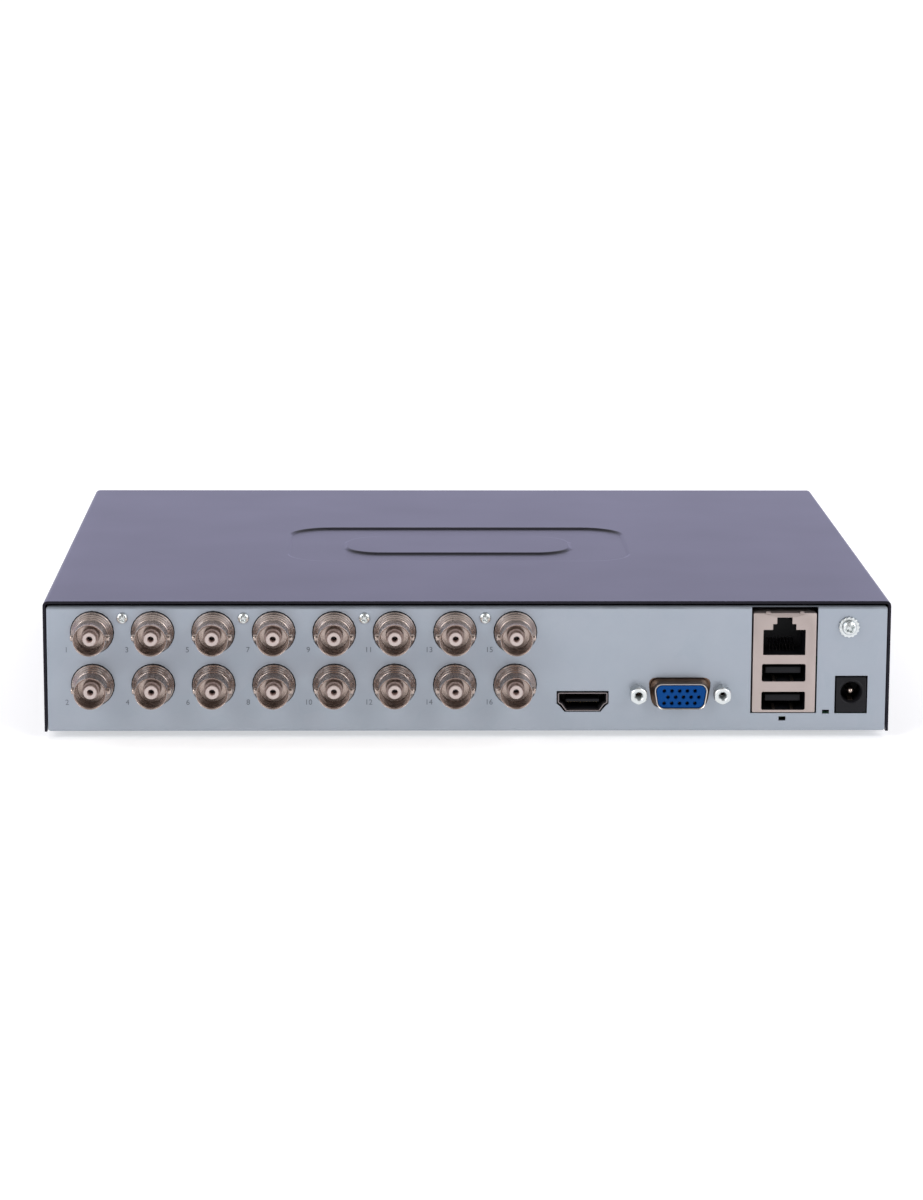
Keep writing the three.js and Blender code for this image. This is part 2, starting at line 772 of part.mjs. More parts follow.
// Pan-head screw.
function earthScrew() {

	const { screwRadius, headRadius } = earth;
	const under = 2 * gap + washerThickness;
	const top = under + earthHeadHeight;
	return turnedOut( [ [ 0, - earthShank ], [ screwRadius, - earthShank ], [ screwRadius, under ],
		[ headRadius, under ], [ headRadius, top - 0.6 ], [ headRadius - 0.5, top ], [ 0, top ] ], 16 );

}

piece( 'earth_washer', earthWasher(), zinc, earth.x, 0, level( earth.height ) );
piece( 'earth_screw', earthScrew(), zinc, earth.x, 0, level( earth.height ) );

// ---- Front -------------------------------------------------------------------------------------------

const fasciaPlate = 1.7;
const fasciaLow = footHeight + 0.3;
const fasciaHigh = caseTop - 0.4;
const fasciaRim = 1.6;
const windowPane = { left: 56, right: 114, low: 12, high: 30, thickness: 1.2 };
const indicatorXs = [ 70, 85, 100 ];
const guide = { tipRadius: 1.5, end: 4, thickness: 3, half: 2.5 };
const indicatorBoard = { left: 60, right: 110, low: 11, high: 31 };
const indicatorBoardY = chassisFrontY - 5.8;

// Moulded fascia: a plate over the whole front with a rim that plugs into the cover.
function fasciaSolid() {

	const plateBack = fasciaFrontY - fasciaPlate;
	const rimX = halfWidth - sheet - 0.5;
	const rimHigh = caseTop - sheet - gap;
	const plate = roundedOutline( - halfWidth + 0.2, fasciaLow, halfWidth - 0.2, fasciaHigh, 1.5 );
	const solids = [ carriedOut( plate, panelY - fasciaFrontY, panelY - plateBack ) ];
	const rim = box( [ - rimX, chassisFrontY + gap, fasciaLow ], [ rimX, plateBack + 0.2, rimHigh ] );
	const room = box(
		[ - rimX + fasciaRim, chassisFrontY - 1, fasciaLow + fasciaRim ],
		[ rimX - fasciaRim, plateBack + 1, rimHigh - fasciaRim ] );
	solids.push( rim.subtract( room ) );
	const opening = box(
		[ windowPane.left, chassisFrontY, level( windowPane.low ) ],
		[ windowPane.right, fasciaFrontY + 1, level( windowPane.high ) ] );
	return joined( solids ).subtract( opening );

}

function paneSolid() {

	const front = fasciaFrontY - gap;
	return box(
		[ windowPane.left + gap, front - windowPane.thickness, level( windowPane.low ) + gap ],
		[ windowPane.right - gap, front, level( windowPane.high ) - gap ] );

}

// Light guide: a bar with one round tip for each indicator.
function guideSolid() {

	const z = level( ( windowPane.low + windowPane.high ) / 2 );
	const barBack = indicatorBoardY + boardThickness + gap;
	const tipEnd = fasciaFrontY - gap - windowPane.thickness - gap;
	const bar = box(
		[ indicatorXs[ 0 ] - guide.end, barBack, z - guide.half ],
		[ indicatorXs[ 2 ] + guide.end, barBack + guide.thickness, z + guide.half ] );
	const tip = barOut( guide.tipRadius, panelY - tipEnd, panelY - barBack - 1, 10 );
	const tips = indicatorXs.map( ( x ) => tip.translate( x, 0, z ) );
	return joined( [ bar, ...tips ] );

}

piece( 'front_fascia', fasciaSolid(), fasciaPlastic );
piece( 'fascia_window', paneSolid(), smokedPlastic );
piece( 'light_guide', guideSolid(), clearPlastic );
piece( 'indicator_board', box(
	[ indicatorBoard.left, indicatorBoardY, level( indicatorBoard.low ) ],
	[ indicatorBoard.right, indicatorBoardY + boardThickness, level( indicatorBoard.high ) ] ), boardGreen );

// ---- Main board --------------------------------------------------------------------------------------

const board = { left: - 123, right: 123, rear: panelInnerY + 0.9, front: - 14.5 };
const boardHoleRadius = 1.6;
const processor = { x: - 40, y: - 46, size: 21, thickness: 1.8 };
const heatsink = { size: 34, base: 2, height: 15, fins: 8, fin: 1.2 };
const battery = { x: 88, y: - 40, radius: 10, thickness: 3.2 };
const holder = { wall: 1.5, height: 3.6, floor: 0.8, mouthHalf: 4 };

function boardSolid() {

	const low = boardTop - boardThickness;
	const plate = box( [ board.left, board.rear, low ], [ board.right, board.front, boardTop ] );
	const hole = turnedUp( [ [ 0, low - 1 ], [ boardHoleRadius, low - 1 ], [ boardHoleRadius, boardTop + 1 ],
		[ 0, boardTop + 1 ] ], 10 );
	return cutBy( plate, boardScrewAt.map( ( [ x, y ] ) => hole.translate( x, y, 0 ) ) );

}

function heatsinkSolid() {

	const low = boardTop + gap + processor.thickness + gap;
	const half = heatsink.size / 2;
	const solids = [ box( [ - half, - half, low ], [ half, half, low + heatsink.base ] ) ];
	const pitch = ( heatsink.size - heatsink.fin ) / ( heatsink.fins - 1 );
	for ( let i = 0; i < heatsink.fins; i ++ ) {

		const x = - half + i * pitch;
		solids.push( box( [ x, - half, low + 1 ], [ x + heatsink.fin, half, low + heatsink.height ] ) );

	}

	return joined( solids );

}

// Holder: a shallow cup with an opening at one side for the coin cell.
function holderSolid() {

	const low = boardTop + gap;
	const inner = battery.radius + gap;
	const outer = inner + holder.wall;
	const floor = low + holder.floor;
	const rim = low + holder.height;
	const half = holder.mouthHalf;
	const cup = turnedUp( [ [ 0, low ], [ outer, low ], [ outer, rim ], [ inner, rim ], [ inner, floor ],
		[ 0, floor ] ], 20 );
	return cup.subtract( box( [ - half, half, floor ], [ half, outer + 1, rim + 1 ] ) );

}

piece( 'main_board', boardSolid(), boardGreen );
piece( 'processor', box(
	[ - processor.size / 2, - processor.size / 2, boardTop + gap ],
	[ processor.size / 2, processor.size / 2, boardTop + gap + processor.thickness ] ), blackPlastic,
processor.x, processor.y );
piece( 'heatsink', heatsinkSolid(), castAluminium, processor.x, processor.y );
piece( 'battery_holder', holderSolid(), blackPlastic, battery.x, battery.y );
piece( 'clock_battery', turnedUp( [ [ 0, 0 ], [ battery.radius - 0.6, 0 ], [ battery.radius, 0.6 ],
	[ battery.radius, battery.thickness ], [ 0, battery.thickness ] ], 20 ), zinc,
battery.x, battery.y, boardTop + gap + holder.floor + gap );

// ---- Disk drive --------------------------------------------------------------------------------------

const driveRight = drive.left + drive.width;
const driveFront = drive.rear + drive.depth;
const driveTop = drive.low + drive.height;
const driveBoardTop = drive.low + boardThickness;
const driveCoverThickness = 1.5;
const driveWall = 3;
const bowlFloor = drive.low + 7;
const hubRadius = 14;
const discThickness = 1.3;
const discLows = [ bowlFloor + 3.5, bowlFloor + 9 ];
const bowlClearance = 0.9;
const arm = { thickness: 1, rootHalf: 6, tipHalf: 1.6, clearance: 0.6 };
const coil = { radius: 18, rootHalf: 5, half: 9, chamfer: 3, under: 2, over: 3 };
const postRadius = 7;

// Cast base with a bowl for the discs and a pocket for the actuator.
function driveBase() {

	const low = driveBoardTop + gap;
	const high = driveTop - driveCoverThickness - gap;
	const body = box( [ drive.left, drive.rear, low ], [ driveRight, driveFront, high ] );
	const room = platterRadius + bowlClearance;
	const bowl = turnedUp( [ [ 0, bowlFloor ], [ room, bowlFloor ], [ room, high + 1 ], [ 0, high + 1 ] ], 36 );
	const pocket = box(
		[ spindle.x + 12, drive.rear + driveWall, bowlFloor ],
		[ driveRight - driveWall, driveFront - driveWall, high + 1 ] );
	return cutBy( body, [ bowl.translate( spindle.x, spindle.y, 0 ), pocket ] );

}

// Hub with two discs on it, in one turned piece.
function drivePlatters() {

	const low = bowlFloor + gap;
	const high = discLows[ 1 ] + discThickness + 1.5;
	const profile = [ [ 0, low ], [ hubRadius, low ] ];
	for ( const disc of discLows ) {

		profile.push( [ hubRadius, disc ], [ platterRadius, disc ] );
		profile.push( [ platterRadius, disc + discThickness ], [ hubRadius, disc + discThickness ] );

	}

	profile.push( [ hubRadius, high ], [ 0, high ] );
	return turnedUp( profile, 28 );

}

// Arms below, between and above the discs, a pivot post and the coil, along the parked direction.
function driveActuator() {

	const { thickness, rootHalf, tipHalf, clearance } = arm;
	const middle = ( discLows[ 0 ] + discThickness + discLows[ 1 ] ) / 2;
	const armLows = [ discLows[ 0 ] - clearance - thickness, middle - thickness / 2,
		discLows[ 1 ] + discThickness + clearance ];
	const low = bowlFloor + gap;
	const high = armLows[ 2 ] + thickness + 1;
	const armShape = outline( [ [ 0, - rootHalf ], [ armLength, - tipHalf ], [ armLength + 1, 0 ],
		[ armLength, tipHalf ], [ 0, rootHalf ] ] );
	const coilShape = outline( [ [ 0, - coil.rootHalf ], [ 0, coil.rootHalf ],
		[ - coil.radius + coil.chamfer, coil.half ], [ - coil.radius, 0 ],
		[ - coil.radius + coil.chamfer, - coil.half ] ] );
	const post = turnedUp( [ [ 0, low ], [ postRadius, low ], [ postRadius, high ], [ 0, high ] ], 20 );
	const arms = armLows.map( ( z ) => carriedUp( armShape, z, z + thickness ) );
	const voiceCoil = carriedUp( coilShape, armLows[ 1 ] - coil.under, armLows[ 1 ] + coil.over );
	return joined( [ post, ...arms, voiceCoil ] ).rotate( [ 0, 0, parkedAngle ] );

}

function driveCover() {

	const low = driveTop - driveCoverThickness;
	const plate = roundedOutline( drive.left, drive.rear, driveRight, driveFront, 3 );
	return carriedUp( plate, low, driveTop );

}

piece( 'drive_base', driveBase(), castAluminium );
piece( 'drive_cover', driveCover(), castAluminium );
piece( 'drive_platters', drivePlatters(), mirrorDisc, spindle.x, spindle.y );
piece( 'drive_actuator', driveActuator(), castAluminium, pivot.x, pivot.y );
piece( 'drive_board', box(
	[ drive.left + 20, drive.rear + 8, drive.low ],
	[ driveRight - 6, driveFront - 20, driveBoardTop ] ), boardGreen );

// ---- Cables inside -----------------------------------------------------------------------------------

// A cable from the drive's end to the main board, with a plug at each end.
function cableSolid( { radius, plugHalf, y, boardX, boardY } ) {

	const startX = driveRight + gap;
	const plugZ = drive.low + 8;
	const boardPlugTop = boardTop + gap + 6;
	const route = new THREE.CatmullRomCurve3( [
		new THREE.Vector3( startX + 8, y, plugZ ),
		new THREE.Vector3( startX + 20, y, plugZ + 1 ),
		new THREE.Vector3( ( startX + boardX ) / 2 + 14, ( y + boardY ) / 2, plugZ + 6 ),
		new THREE.Vector3( boardX, boardY + 6, boardPlugTop + 8 ),
		new THREE.Vector3( boardX, boardY, boardPlugTop - 1 ),
	] );
	const section = new THREE.Shape().absarc( 0, 0, radius, 0, 2 * Math.PI );
	const options = { steps: 14, curveSegments: 4, bevelEnabled: false, extrudePath: route };
	const tube = solidOf( new THREE.ExtrudeGeometry( section, options ) );
	const drivePlug = box( [ startX, y - plugHalf, plugZ - 2.5 ], [ startX + 10, y + plugHalf, plugZ + 2.5 ] );
	const boardPlug = box(
		[ boardX - plugHalf, boardY - 3, boardTop + gap ],
		[ boardX + plugHalf, boardY + 3, boardPlugTop ] );
	return joined( [ tube, drivePlug, boardPlug ] );

}

piece( 'data_cable', cableSolid( { radius: 1.8, plugHalf: 6, y: 62, boardX: 60, boardY: - 34 } ), cableRed );
piece( 'power_cable', cableSolid( { radius: 2.2, plugHalf: 11, y: 36, boardX: 34, boardY: - 34 } ),
	cableBlack );

export default recorder;
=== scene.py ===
import json
import math

import bmesh
import bpy
import numpy as np
from mathutils import Matrix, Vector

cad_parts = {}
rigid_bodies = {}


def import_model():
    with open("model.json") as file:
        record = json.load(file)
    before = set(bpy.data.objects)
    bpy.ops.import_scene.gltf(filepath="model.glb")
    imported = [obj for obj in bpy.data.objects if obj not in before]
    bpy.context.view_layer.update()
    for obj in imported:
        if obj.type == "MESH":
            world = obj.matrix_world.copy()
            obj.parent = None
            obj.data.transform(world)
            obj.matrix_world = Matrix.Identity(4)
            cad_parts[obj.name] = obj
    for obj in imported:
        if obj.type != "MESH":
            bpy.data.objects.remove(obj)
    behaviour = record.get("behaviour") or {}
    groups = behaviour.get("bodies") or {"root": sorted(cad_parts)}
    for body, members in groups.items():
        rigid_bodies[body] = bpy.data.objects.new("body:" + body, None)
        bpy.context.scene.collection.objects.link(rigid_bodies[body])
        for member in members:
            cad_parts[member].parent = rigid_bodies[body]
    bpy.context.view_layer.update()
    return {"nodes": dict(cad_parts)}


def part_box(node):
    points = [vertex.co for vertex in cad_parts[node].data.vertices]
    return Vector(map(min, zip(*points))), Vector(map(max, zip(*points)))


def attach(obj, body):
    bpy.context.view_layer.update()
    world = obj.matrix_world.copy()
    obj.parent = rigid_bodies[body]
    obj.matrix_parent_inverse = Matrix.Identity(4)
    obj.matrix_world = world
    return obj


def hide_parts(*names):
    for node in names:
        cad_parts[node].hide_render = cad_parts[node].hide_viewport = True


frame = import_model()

mm = 0.001
case = "recorder"


def corners(node):
    # lowest and highest corner of a CAD node, in millimetres
    low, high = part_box(node)
    return np.array(low) / mm, np.array(high) / mm


def middle(node):
    low, high = corners(node)
    return (low + high) / 2


chassisLow = corners("chassis")[0]
panelY = float(chassisLow[1])
caseBottom = float(chassisLow[2])
panelBase = (0, panelY, caseBottom)
jackNodes = sorted(name for name in frame["nodes"] if name.startswith("bnc_shell_"))
blockNodes = sorted(name for name in frame["nodes"] if name.startswith("bnc_block_"))
print("frame loaded, rear panel at", round(panelY, 2))


# Camera, floor and light.

camera = {
    "place": (-26.1, panelY - 1040.6, caseBottom + 243.8),
    "pitch": 11.08, "yaw": 1.33, "roll": 0.24,
    "lens": 107.28, "sensor": 36.0, "nearest": 50, "farthest": 30000,
}


def makeCamera():
    # millimetres and degrees: rolled about its own axis, raised to look along +Y but down by the pitch,
    # and turned aside by the yaw
    data = bpy.data.cameras.new("rearView")
    data.sensor_width = camera["sensor"]
    data.lens = camera["lens"]
    data.clip_start = camera["nearest"] * mm
    data.clip_end = camera["farthest"] * mm
    eye = bpy.data.objects.new("rearView", data)
    turn = Matrix.Rotation(math.radians(-camera["yaw"]), 4, "Z")
    turn = turn @ Matrix.Rotation(math.radians(90 - camera["pitch"]), 4, "X")
    turn = turn @ Matrix.Rotation(math.radians(camera["roll"]), 4, "Z")
    eye.matrix_world = Matrix.Translation([float(c) * mm for c in camera["place"]]) @ turn
    bpy.context.scene.collection.objects.link(eye)
    bpy.context.scene.camera = eye


studio = {
    "floorColour": (0.70, 0.70, 0.70), "floorGlow": 0.47, "floorHalf": 9.0,
    "front": (0.20, 0.19, 0.19), "side": (0.80, 0.75, 0.76), "behind": (1.14, 1.12, 1.60),
    "ahead": (0.06, 0.055, 0.06), "above": (1.02, 1.02, 1.03),
    "sideEdge": (0.62, 0.16), "behindEdge": (0.1, 0.35),
    "aheadEdge": (0.34, 0.16), "aboveEdge": (-0.08, 0.15), "highEdge": (0.46, 0.14),
    "lamps": {"keyLamp": ((-1.0, -1.2, 0.75), 11), "fillLamp": ((1.0, -1.2, 0.75), 10)},
    "lampSize": 0.7, "lampAim": (0, -0.05, 0.02),
}


def addLamp(name, place, power):
    # a square area lamp at a place in metres, turned so that its -Z points at the aim
    data = bpy.data.lights.new(name, "AREA")
    data.shape = "RECTANGLE"
    data.size, data.size_y = studio["lampSize"], studio["lampSize"]
    data.energy = power
    lamp = bpy.data.objects.new(name, data)
    away = np.array(place) - np.array(studio["lampAim"])
    z = away / np.linalg.norm(away)
    x = np.cross((0.0, 0.0, 1.0), z)
    x = x / np.linalg.norm(x)
    turn = Matrix(np.column_stack([x, np.cross(z, x), z]).tolist()).to_4x4()
    lamp.matrix_world = Matrix.Translation(place) @ turn
    bpy.context.scene.collection.objects.link(lamp)


def makeStudio():
    # a glowing paper floor; a sky that is dim in front and bright behind; two lamps at the sides
    half = studio["floorHalf"]
    mesh = bpy.data.meshes.new("floor")
    square = [(-half, -half, 0), (half, -half, 0), (half, half, 0), (-half, half, 0)]
    mesh.from_pydata(square, [], [(0, 1, 2, 3)])
    floor = bpy.data.objects.new("floor", mesh)
    bpy.context.scene.collection.objects.link(floor)
    paper = Finish("studioPaper")
    colour, white = rgba(*studio["floorColour"]), rgba(1, 1, 1)
    paper.done(colour, 0.9, glow=white, glowStrength=studio["floorGlow"])
    mesh.materials.append(paper.material)
    world = bpy.data.worlds.new("studioSky")
    bpy.context.scene.world = world
    world.use_nodes = True
    sky = Nodes(world.node_tree)
    x, y, z = sky.split(sky.node("ShaderNodeTexCoord", output="Generated"))
    front, side, behind, ahead, above = (rgba(*studio[key]) for key in
                                         ("front", "side", "behind", "ahead", "above"))
    near = sky.mix(abs(x).above(*studio["sideEdge"]), front, side)
    low = sky.mix(y.above(*studio["behindEdge"]), near, behind)
    overhead = sky.mix(abs(x).above(*studio["aheadEdge"]), ahead, above)
    high = sky.mix(y.above(*studio["aboveEdge"]), overhead, above)
    colour = sky.mix(z.above(*studio["highEdge"]), low, high)
    sky.finish("ShaderNodeBackground", {"Color": colour, "Strength": 1.0}, "ShaderNodeOutputWorld")
    for name, (place, power) in studio["lamps"].items():
        addLamp(name, place, power)
    bpy.context.scene.view_settings.view_transform = "Standard"


# Shader maths.

class Value:
    # A socket in a node tree. Arithmetic on it adds Math nodes.
    def __init__(self, nodes, socket):
        self.nodes = nodes
        self.socket = socket

    def maths(self, operation, *parts):
        inputs = dict(enumerate(parts))
        return self.nodes.node("ShaderNodeMath", {"operation": operation}, inputs)

    def __add__(self, other):
        return self.maths("ADD", self, other)

    def __sub__(self, other):
        return self.maths("SUBTRACT", self, other)

    def __rsub__(self, other):
        return self.maths("SUBTRACT", other, self)

    def __mul__(self, other):
        return self.maths("MULTIPLY", self, other)

    def __mod__(self, other):
        return self.maths("FLOORED_MODULO", self, other)

    def __abs__(self):
        return self.maths("ABSOLUTE", self)

    def root(self):
        return self.maths("SQRT", self)

    def sine(self):
        return self.maths("SINE", self)

    __radd__ = __add__
    __rmul__ = __mul__

    def above(self, edge, soft):
        # 0 below the edge, 1 above it, with a soft step between
        settings = {"interpolation_type": "SMOOTHSTEP"}
        inputs = {"Value": self, "From Min": edge - soft, "From Max": edge + soft}
        return self.nodes.node("ShaderNodeMapRange", settings, inputs)


class Nodes:
    # A node tree that starts empty; node() adds any node and joins or sets its inputs.
    def __init__(self, tree):
        self.tree = tree
        self.tree.nodes.clear()

    def node(self, kind, settings=None, inputs=None, output=0):
        node = self.tree.nodes.new(kind)
        for key, value in (settings or {}).items():
            setattr(node, key, value)
        for key, value in (inputs or {}).items():
            if isinstance(value, Value):
                self.tree.links.new(value.socket, node.inputs[key])
            else:
                node.inputs[key].default_value = value
        return Value(self, node.outputs[output])

    def mix(self, factor, a, b):
        # colour a where the factor is 0 and b where it is 1; sockets 6 and 7 are the node's colours
        inputs = {0: factor, 6: a, 7: b}
        return self.node("ShaderNodeMix", {"data_type": "RGBA"}, inputs, 2)

    def split(self, vector):
        # the three parts of a vector
        return [self.node("ShaderNodeSeparateXYZ", {}, {0: vector}, axis) for axis in "XYZ"]

    def finish(self, kind, inputs, output):
        # the closing shader, joined to the output's surface
        shader = self.node(kind, {}, inputs)
        out = self.tree.nodes.new(output)
        self.tree.links.new(shader.socket, out.inputs["Surface"])


class Finish(Nodes):
    # One material: a Principled shader whose patterns read Object coordinates.
    def __init__(self, name):
        self.material = bpy.data.materials.new(name)
        self.material.use_nodes = True
        super().__init__(self.material.node_tree)
        self.place = self.node("ShaderNodeTexCoord", output="Object")

    def noise(self, size, detail=3.0, roughness=0.5, stretch=(1, 1, 1)):
        # noise whose features are about the given number of millimetres across
        place = self.node("ShaderNodeMapping", {}, {"Vector": self.place, "Scale": stretch})
        inputs = {"Vector": place, "Scale": 1 / (size * mm), "Detail": detail, "Roughness": roughness}
        return self.node("ShaderNodeTexNoise", {}, inputs)

    def cells(self, size, output="Distance"):
        # cells of that many millimetres: the distance to the nearest seed, or each cell's own colour
        inputs = {"Vector": self.place, "Scale": 1 / (size * mm)}
        return self.node("ShaderNodeTexVoronoi", {}, inputs, output)

    def out(self):
        # how far a point stands in front of the rear panel, in metres
        return panelY * mm - self.split(self.place)[1]

    def grey(self, colour):
        # a colour's brightness as a number
        return self.node("ShaderNodeRGBToBW", {}, {0: colour})

    def bump(self, height, depth, before=None):
        # raises the surface by the height pattern times a depth in millimetres
        inputs = {"Height": height, "Distance": depth * mm, "Strength": 1.0}
        if before is not None:
            inputs["Normal"] = before
        return self.node("ShaderNodeBump", {}, inputs)

    def done(self, colour, roughness, metallic=0.0, normal=None, **more):
        names = {"coat": "Coat Weight", "specular": "Specular IOR Level",
                 "glow": "Emission Color", "glowStrength": "Emission Strength"}
        inputs = {"Base Color": colour, "Roughness": roughness, "Metallic": metallic}
        inputs.update({names[key]: value for key, value in more.items()})
        if normal is not None:
            inputs["Normal"] = normal
        self.finish("ShaderNodeBsdfPrincipled", inputs, "ShaderNodeOutputMaterial")
        return self.material


# Finishes.

def rgba(*colour):
    return (*colour, 1.0)


def powderCoat():
    # satin black powder coat with a fine orange peel
    f = Finish("powderCoat")
    patch = f.noise(38, 2)
    peel = f.noise(0.9, 2)
    grain = f.noise(0.25, 1)
    colour = f.mix(patch, rgba(0.006, 0.005, 0.010), rgba(0.010, 0.009, 0.016))
    normal = f.bump(peel, 0.008, f.bump(grain, 0.003))
    return f.done(colour, 0.27 + patch * 0.05 + grain * 0.04, normal=normal, specular=0.14)


def galvanised():
    # zinc-coated sheet: broad pale mottling, faint crystal spangle and short rolling lines
    f = Finish("galvanisedSheet")
    mottle = f.noise(14, 4, 0.6)
    spangle = f.grey(f.cells(5, "Color"))
    rolling = f.noise(1.4, 2, 0.5, (0.06, 1, 1))
    cool = f.mix(mottle, rgba(0.29, 0.33, 0.38), rgba(0.35, 0.385, 0.435))
    colour = f.mix(spangle * 0.22, cool, rgba(0.39, 0.405, 0.465))
    normal = f.bump(rolling, 0.004, f.bump(spangle, 0.002))
    rough = 0.25 + mottle * 0.10 + spangle * 0.06
    return f.done(colour, rough, 0.72, normal)


def castNickel():
    # plated die casting: soft waviness, fine pits and a patchy warm tone
    f = Finish("castNickel")
    patch = f.noise(3.5, 3)
    wave = f.noise(1.1, 2)
    pits = f.cells(0.5).above(0.28, 0.10)
    colour = f.mix(patch, rgba(0.36, 0.28, 0.24), rgba(0.50, 0.42, 0.37))
    normal = f.bump(wave, 0.007, f.bump(pits, 0.002))
    return f.done(colour, 0.23 + patch * 0.12, 1.0, normal)


turned = {"pitch": 0.36, "depth": 0.007, "from": 4.55, "blend": 0.05}


def turnedNickel():
    # turned nickel: grooves whose height is the sine of radius plus distance along each jack's axis
    f = Finish("turnedNickel")
    first, below, beside = (middle(node) * mm for node in jackNodes[:3])
    pitch, rise = float(beside[0] - first[0]), float(first[2] - below[2])
    x, y, z = f.split(f.place)
    across = (x - float(first[0]) + pitch / 2) % pitch - pitch / 2
    up = (z - float(below[2]) + rise / 2) % rise - rise / 2
    radius = (across * across + up * up).root()
    grooves = ((radius + y) * (2 * math.pi / (turned["pitch"] * mm))).sine()
    patch = f.noise(3.5, 3)
    wave = f.noise(1.1, 2)
    outside = radius.above(turned["from"] * mm, turned["blend"] * mm)
    colour = f.mix(patch, rgba(0.38, 0.30, 0.26), rgba(0.54, 0.46, 0.42))
    normal = f.bump(grooves * outside, turned["depth"], f.bump(wave, 0.007))
    return f.done(colour, 0.20 + patch * 0.12, 1.0, normal)


metals = {
    # bright zinc with turned marks; warm grey-pink tin plate with drawn lines along the fold
    "brightZinc": {
        "tones": ((0.60, 0.64, 0.66), (0.72, 0.74, 0.72)), "patch": (1.6, 2),
        "lines": (0.16, 2, 0.6, (1, 1, 0.15)), "depth": 0.004, "rough": (0.24, 0.14, 0),
    },
    "tinPlate": {
        "tones": ((0.40, 0.34, 0.32), (0.465, 0.40, 0.38)), "patch": (6, 3),
        "lines": (0.5, 2, 0.5, (1, 1, 0.05)), "depth": 0.003, "rough": (0.34, 0.10, 0.06), "metallic": 0.85,
    },
    # dull nickelled steel; gold flash worn in spots; gritty cast aluminium; a disc's mirror
    "drawnSteel": {
        "tones": ((0.20, 0.175, 0.18), (0.27, 0.24, 0.24)), "patch": (1.8, 2),
        "lines": (0.3, 2, 0.5, (0.1, 1, 1)), "depth": 0.003, "rough": (0.30, 0.12, 0),
    },
    "goldContact": {
        "tones": ((0.72, 0.50, 0.20), (0.83, 0.64, 0.32)), "patch": (0.7, 2),
        "lines": (0.7, 2), "depth": 0.003, "rough": (0.2, 0.12, 0),
    },
    "castAluminium": {
        "tones": ((0.42, 0.43, 0.45), (0.55, 0.56, 0.58)), "patch": (8, 4),
        "lines": (0.5, 2, 0.7), "depth": 0.02, "rough": (0.42, 0, 0.15),
    },
    "mirrorDisc": {
        "tones": ((0.74, 0.74, 0.76), (0.82, 0.82, 0.84)), "patch": (20, 2),
        "lines": (0.5, 1), "depth": 0, "rough": (0.04, 0.03, 0),
    },
}


def metal(name):
    # two tones in broad patches; roughness is a base plus shares of the patches and the fine lines
    m = metals[name]
    f = Finish(name)
    patch, lines = f.noise(*m["patch"]), f.noise(*m["lines"])
    base, byPatch, byLines = m["rough"]
    colour = f.mix(patch, rgba(*m["tones"][0]), rgba(*m["tones"][1]))
    rough = base + patch * byPatch + lines * byLines
    return f.done(colour, rough, m.get("metallic", 1.0), f.bump(lines, m["depth"]))


def shellPlate():
    # brown-passivated shell of the analog video socket, with a painted highlight: a pale colour round its
    # open end
    f = Finish("passivatedShell")
    patch = f.noise(2.4, 3)
    lines = f.noise(0.4, 2)
    # painted highlight: the lip at the open end gets a pale colour in place of the light it catches
    paintedRimHighlight = f.out().above(5.55 * mm, 0.25 * mm)
    brown = f.mix(patch, rgba(0.13, 0.075, 0.05), rgba(0.24, 0.16, 0.11))
    colour = f.mix(paintedRimHighlight, brown, rgba(0.66, 0.60, 0.54))
    return f.done(colour, 0.26 + patch * 0.14, 1.0, f.bump(lines, 0.004))


def moulding(name, low, high, rough, grain, depth, **more):
    # moulded plastic: slight tone change, fine spark-eroded grain and flow marks
    f = Finish(name)
    flow = f.noise(9, 2)
    texture = f.noise(grain, 2, 0.6)
    colour = f.mix(flow, rgba(*low), rgba(*high))
    normal = f.bump(texture, depth, f.bump(flow, 0.01))
    return f.done(colour, rough + flow * 0.08 + texture * 0.05, 0.0, normal, **more)


def insulatorMoulding():
    # milky insulator, with painted light: its sides get a paler colour than its flat end, to lift the shade
    # that falls on them inside the socket
    f = Finish("insulatorWhite")
    flow = f.noise(3, 2)
    texture = f.noise(0.4, 2, 0.6)
    face = f.mix(flow, rgba(0.42, 0.35, 0.33), rgba(0.50, 0.43, 0.41))
    # painted light: the paler side colour stands in for light inside the socket; the flat end keeps the
    # insulator's own tone
    side = f.mix(flow, rgba(0.64, 0.52, 0.49), rgba(0.72, 0.60, 0.57))
    colour = f.mix(f.out().above(10.45 * mm, 0.08 * mm), side, face)
    return f.done(colour, 0.38 + flow * 0.08, 0.0, f.bump(texture, 0.008))


def circuitBoard():
    # solder mask over copper: traces on a square lattice, pads and a weave that shows through
    f = Finish("circuitBoard")
    lattice = {"Vector": f.place, "Scale": 1 / (9 * mm), "Mortar Size": 0.012,
               "Color1": rgba(0.02, 0.11, 0.05), "Color2": rgba(0.02, 0.14, 0.06),
               "Mortar": rgba(0.05, 0.20, 0.09)}
    lanes = f.node("ShaderNodeTexBrick", {"offset": 0.37, "squash": 1.7}, lattice)
    pads = 1 - f.cells(3.1).above(0.16, 0.03)
    weave = f.noise(0.5, 1)
    colour = f.mix(pads * 0.7, lanes, rgba(0.60, 0.58, 0.50))
    normal = f.bump(f.grey(lanes), 0.02, f.bump(weave, 0.006))
    return f.done(colour, 0.36 + weave * 0.1, 0.0, normal, coat=0.2)


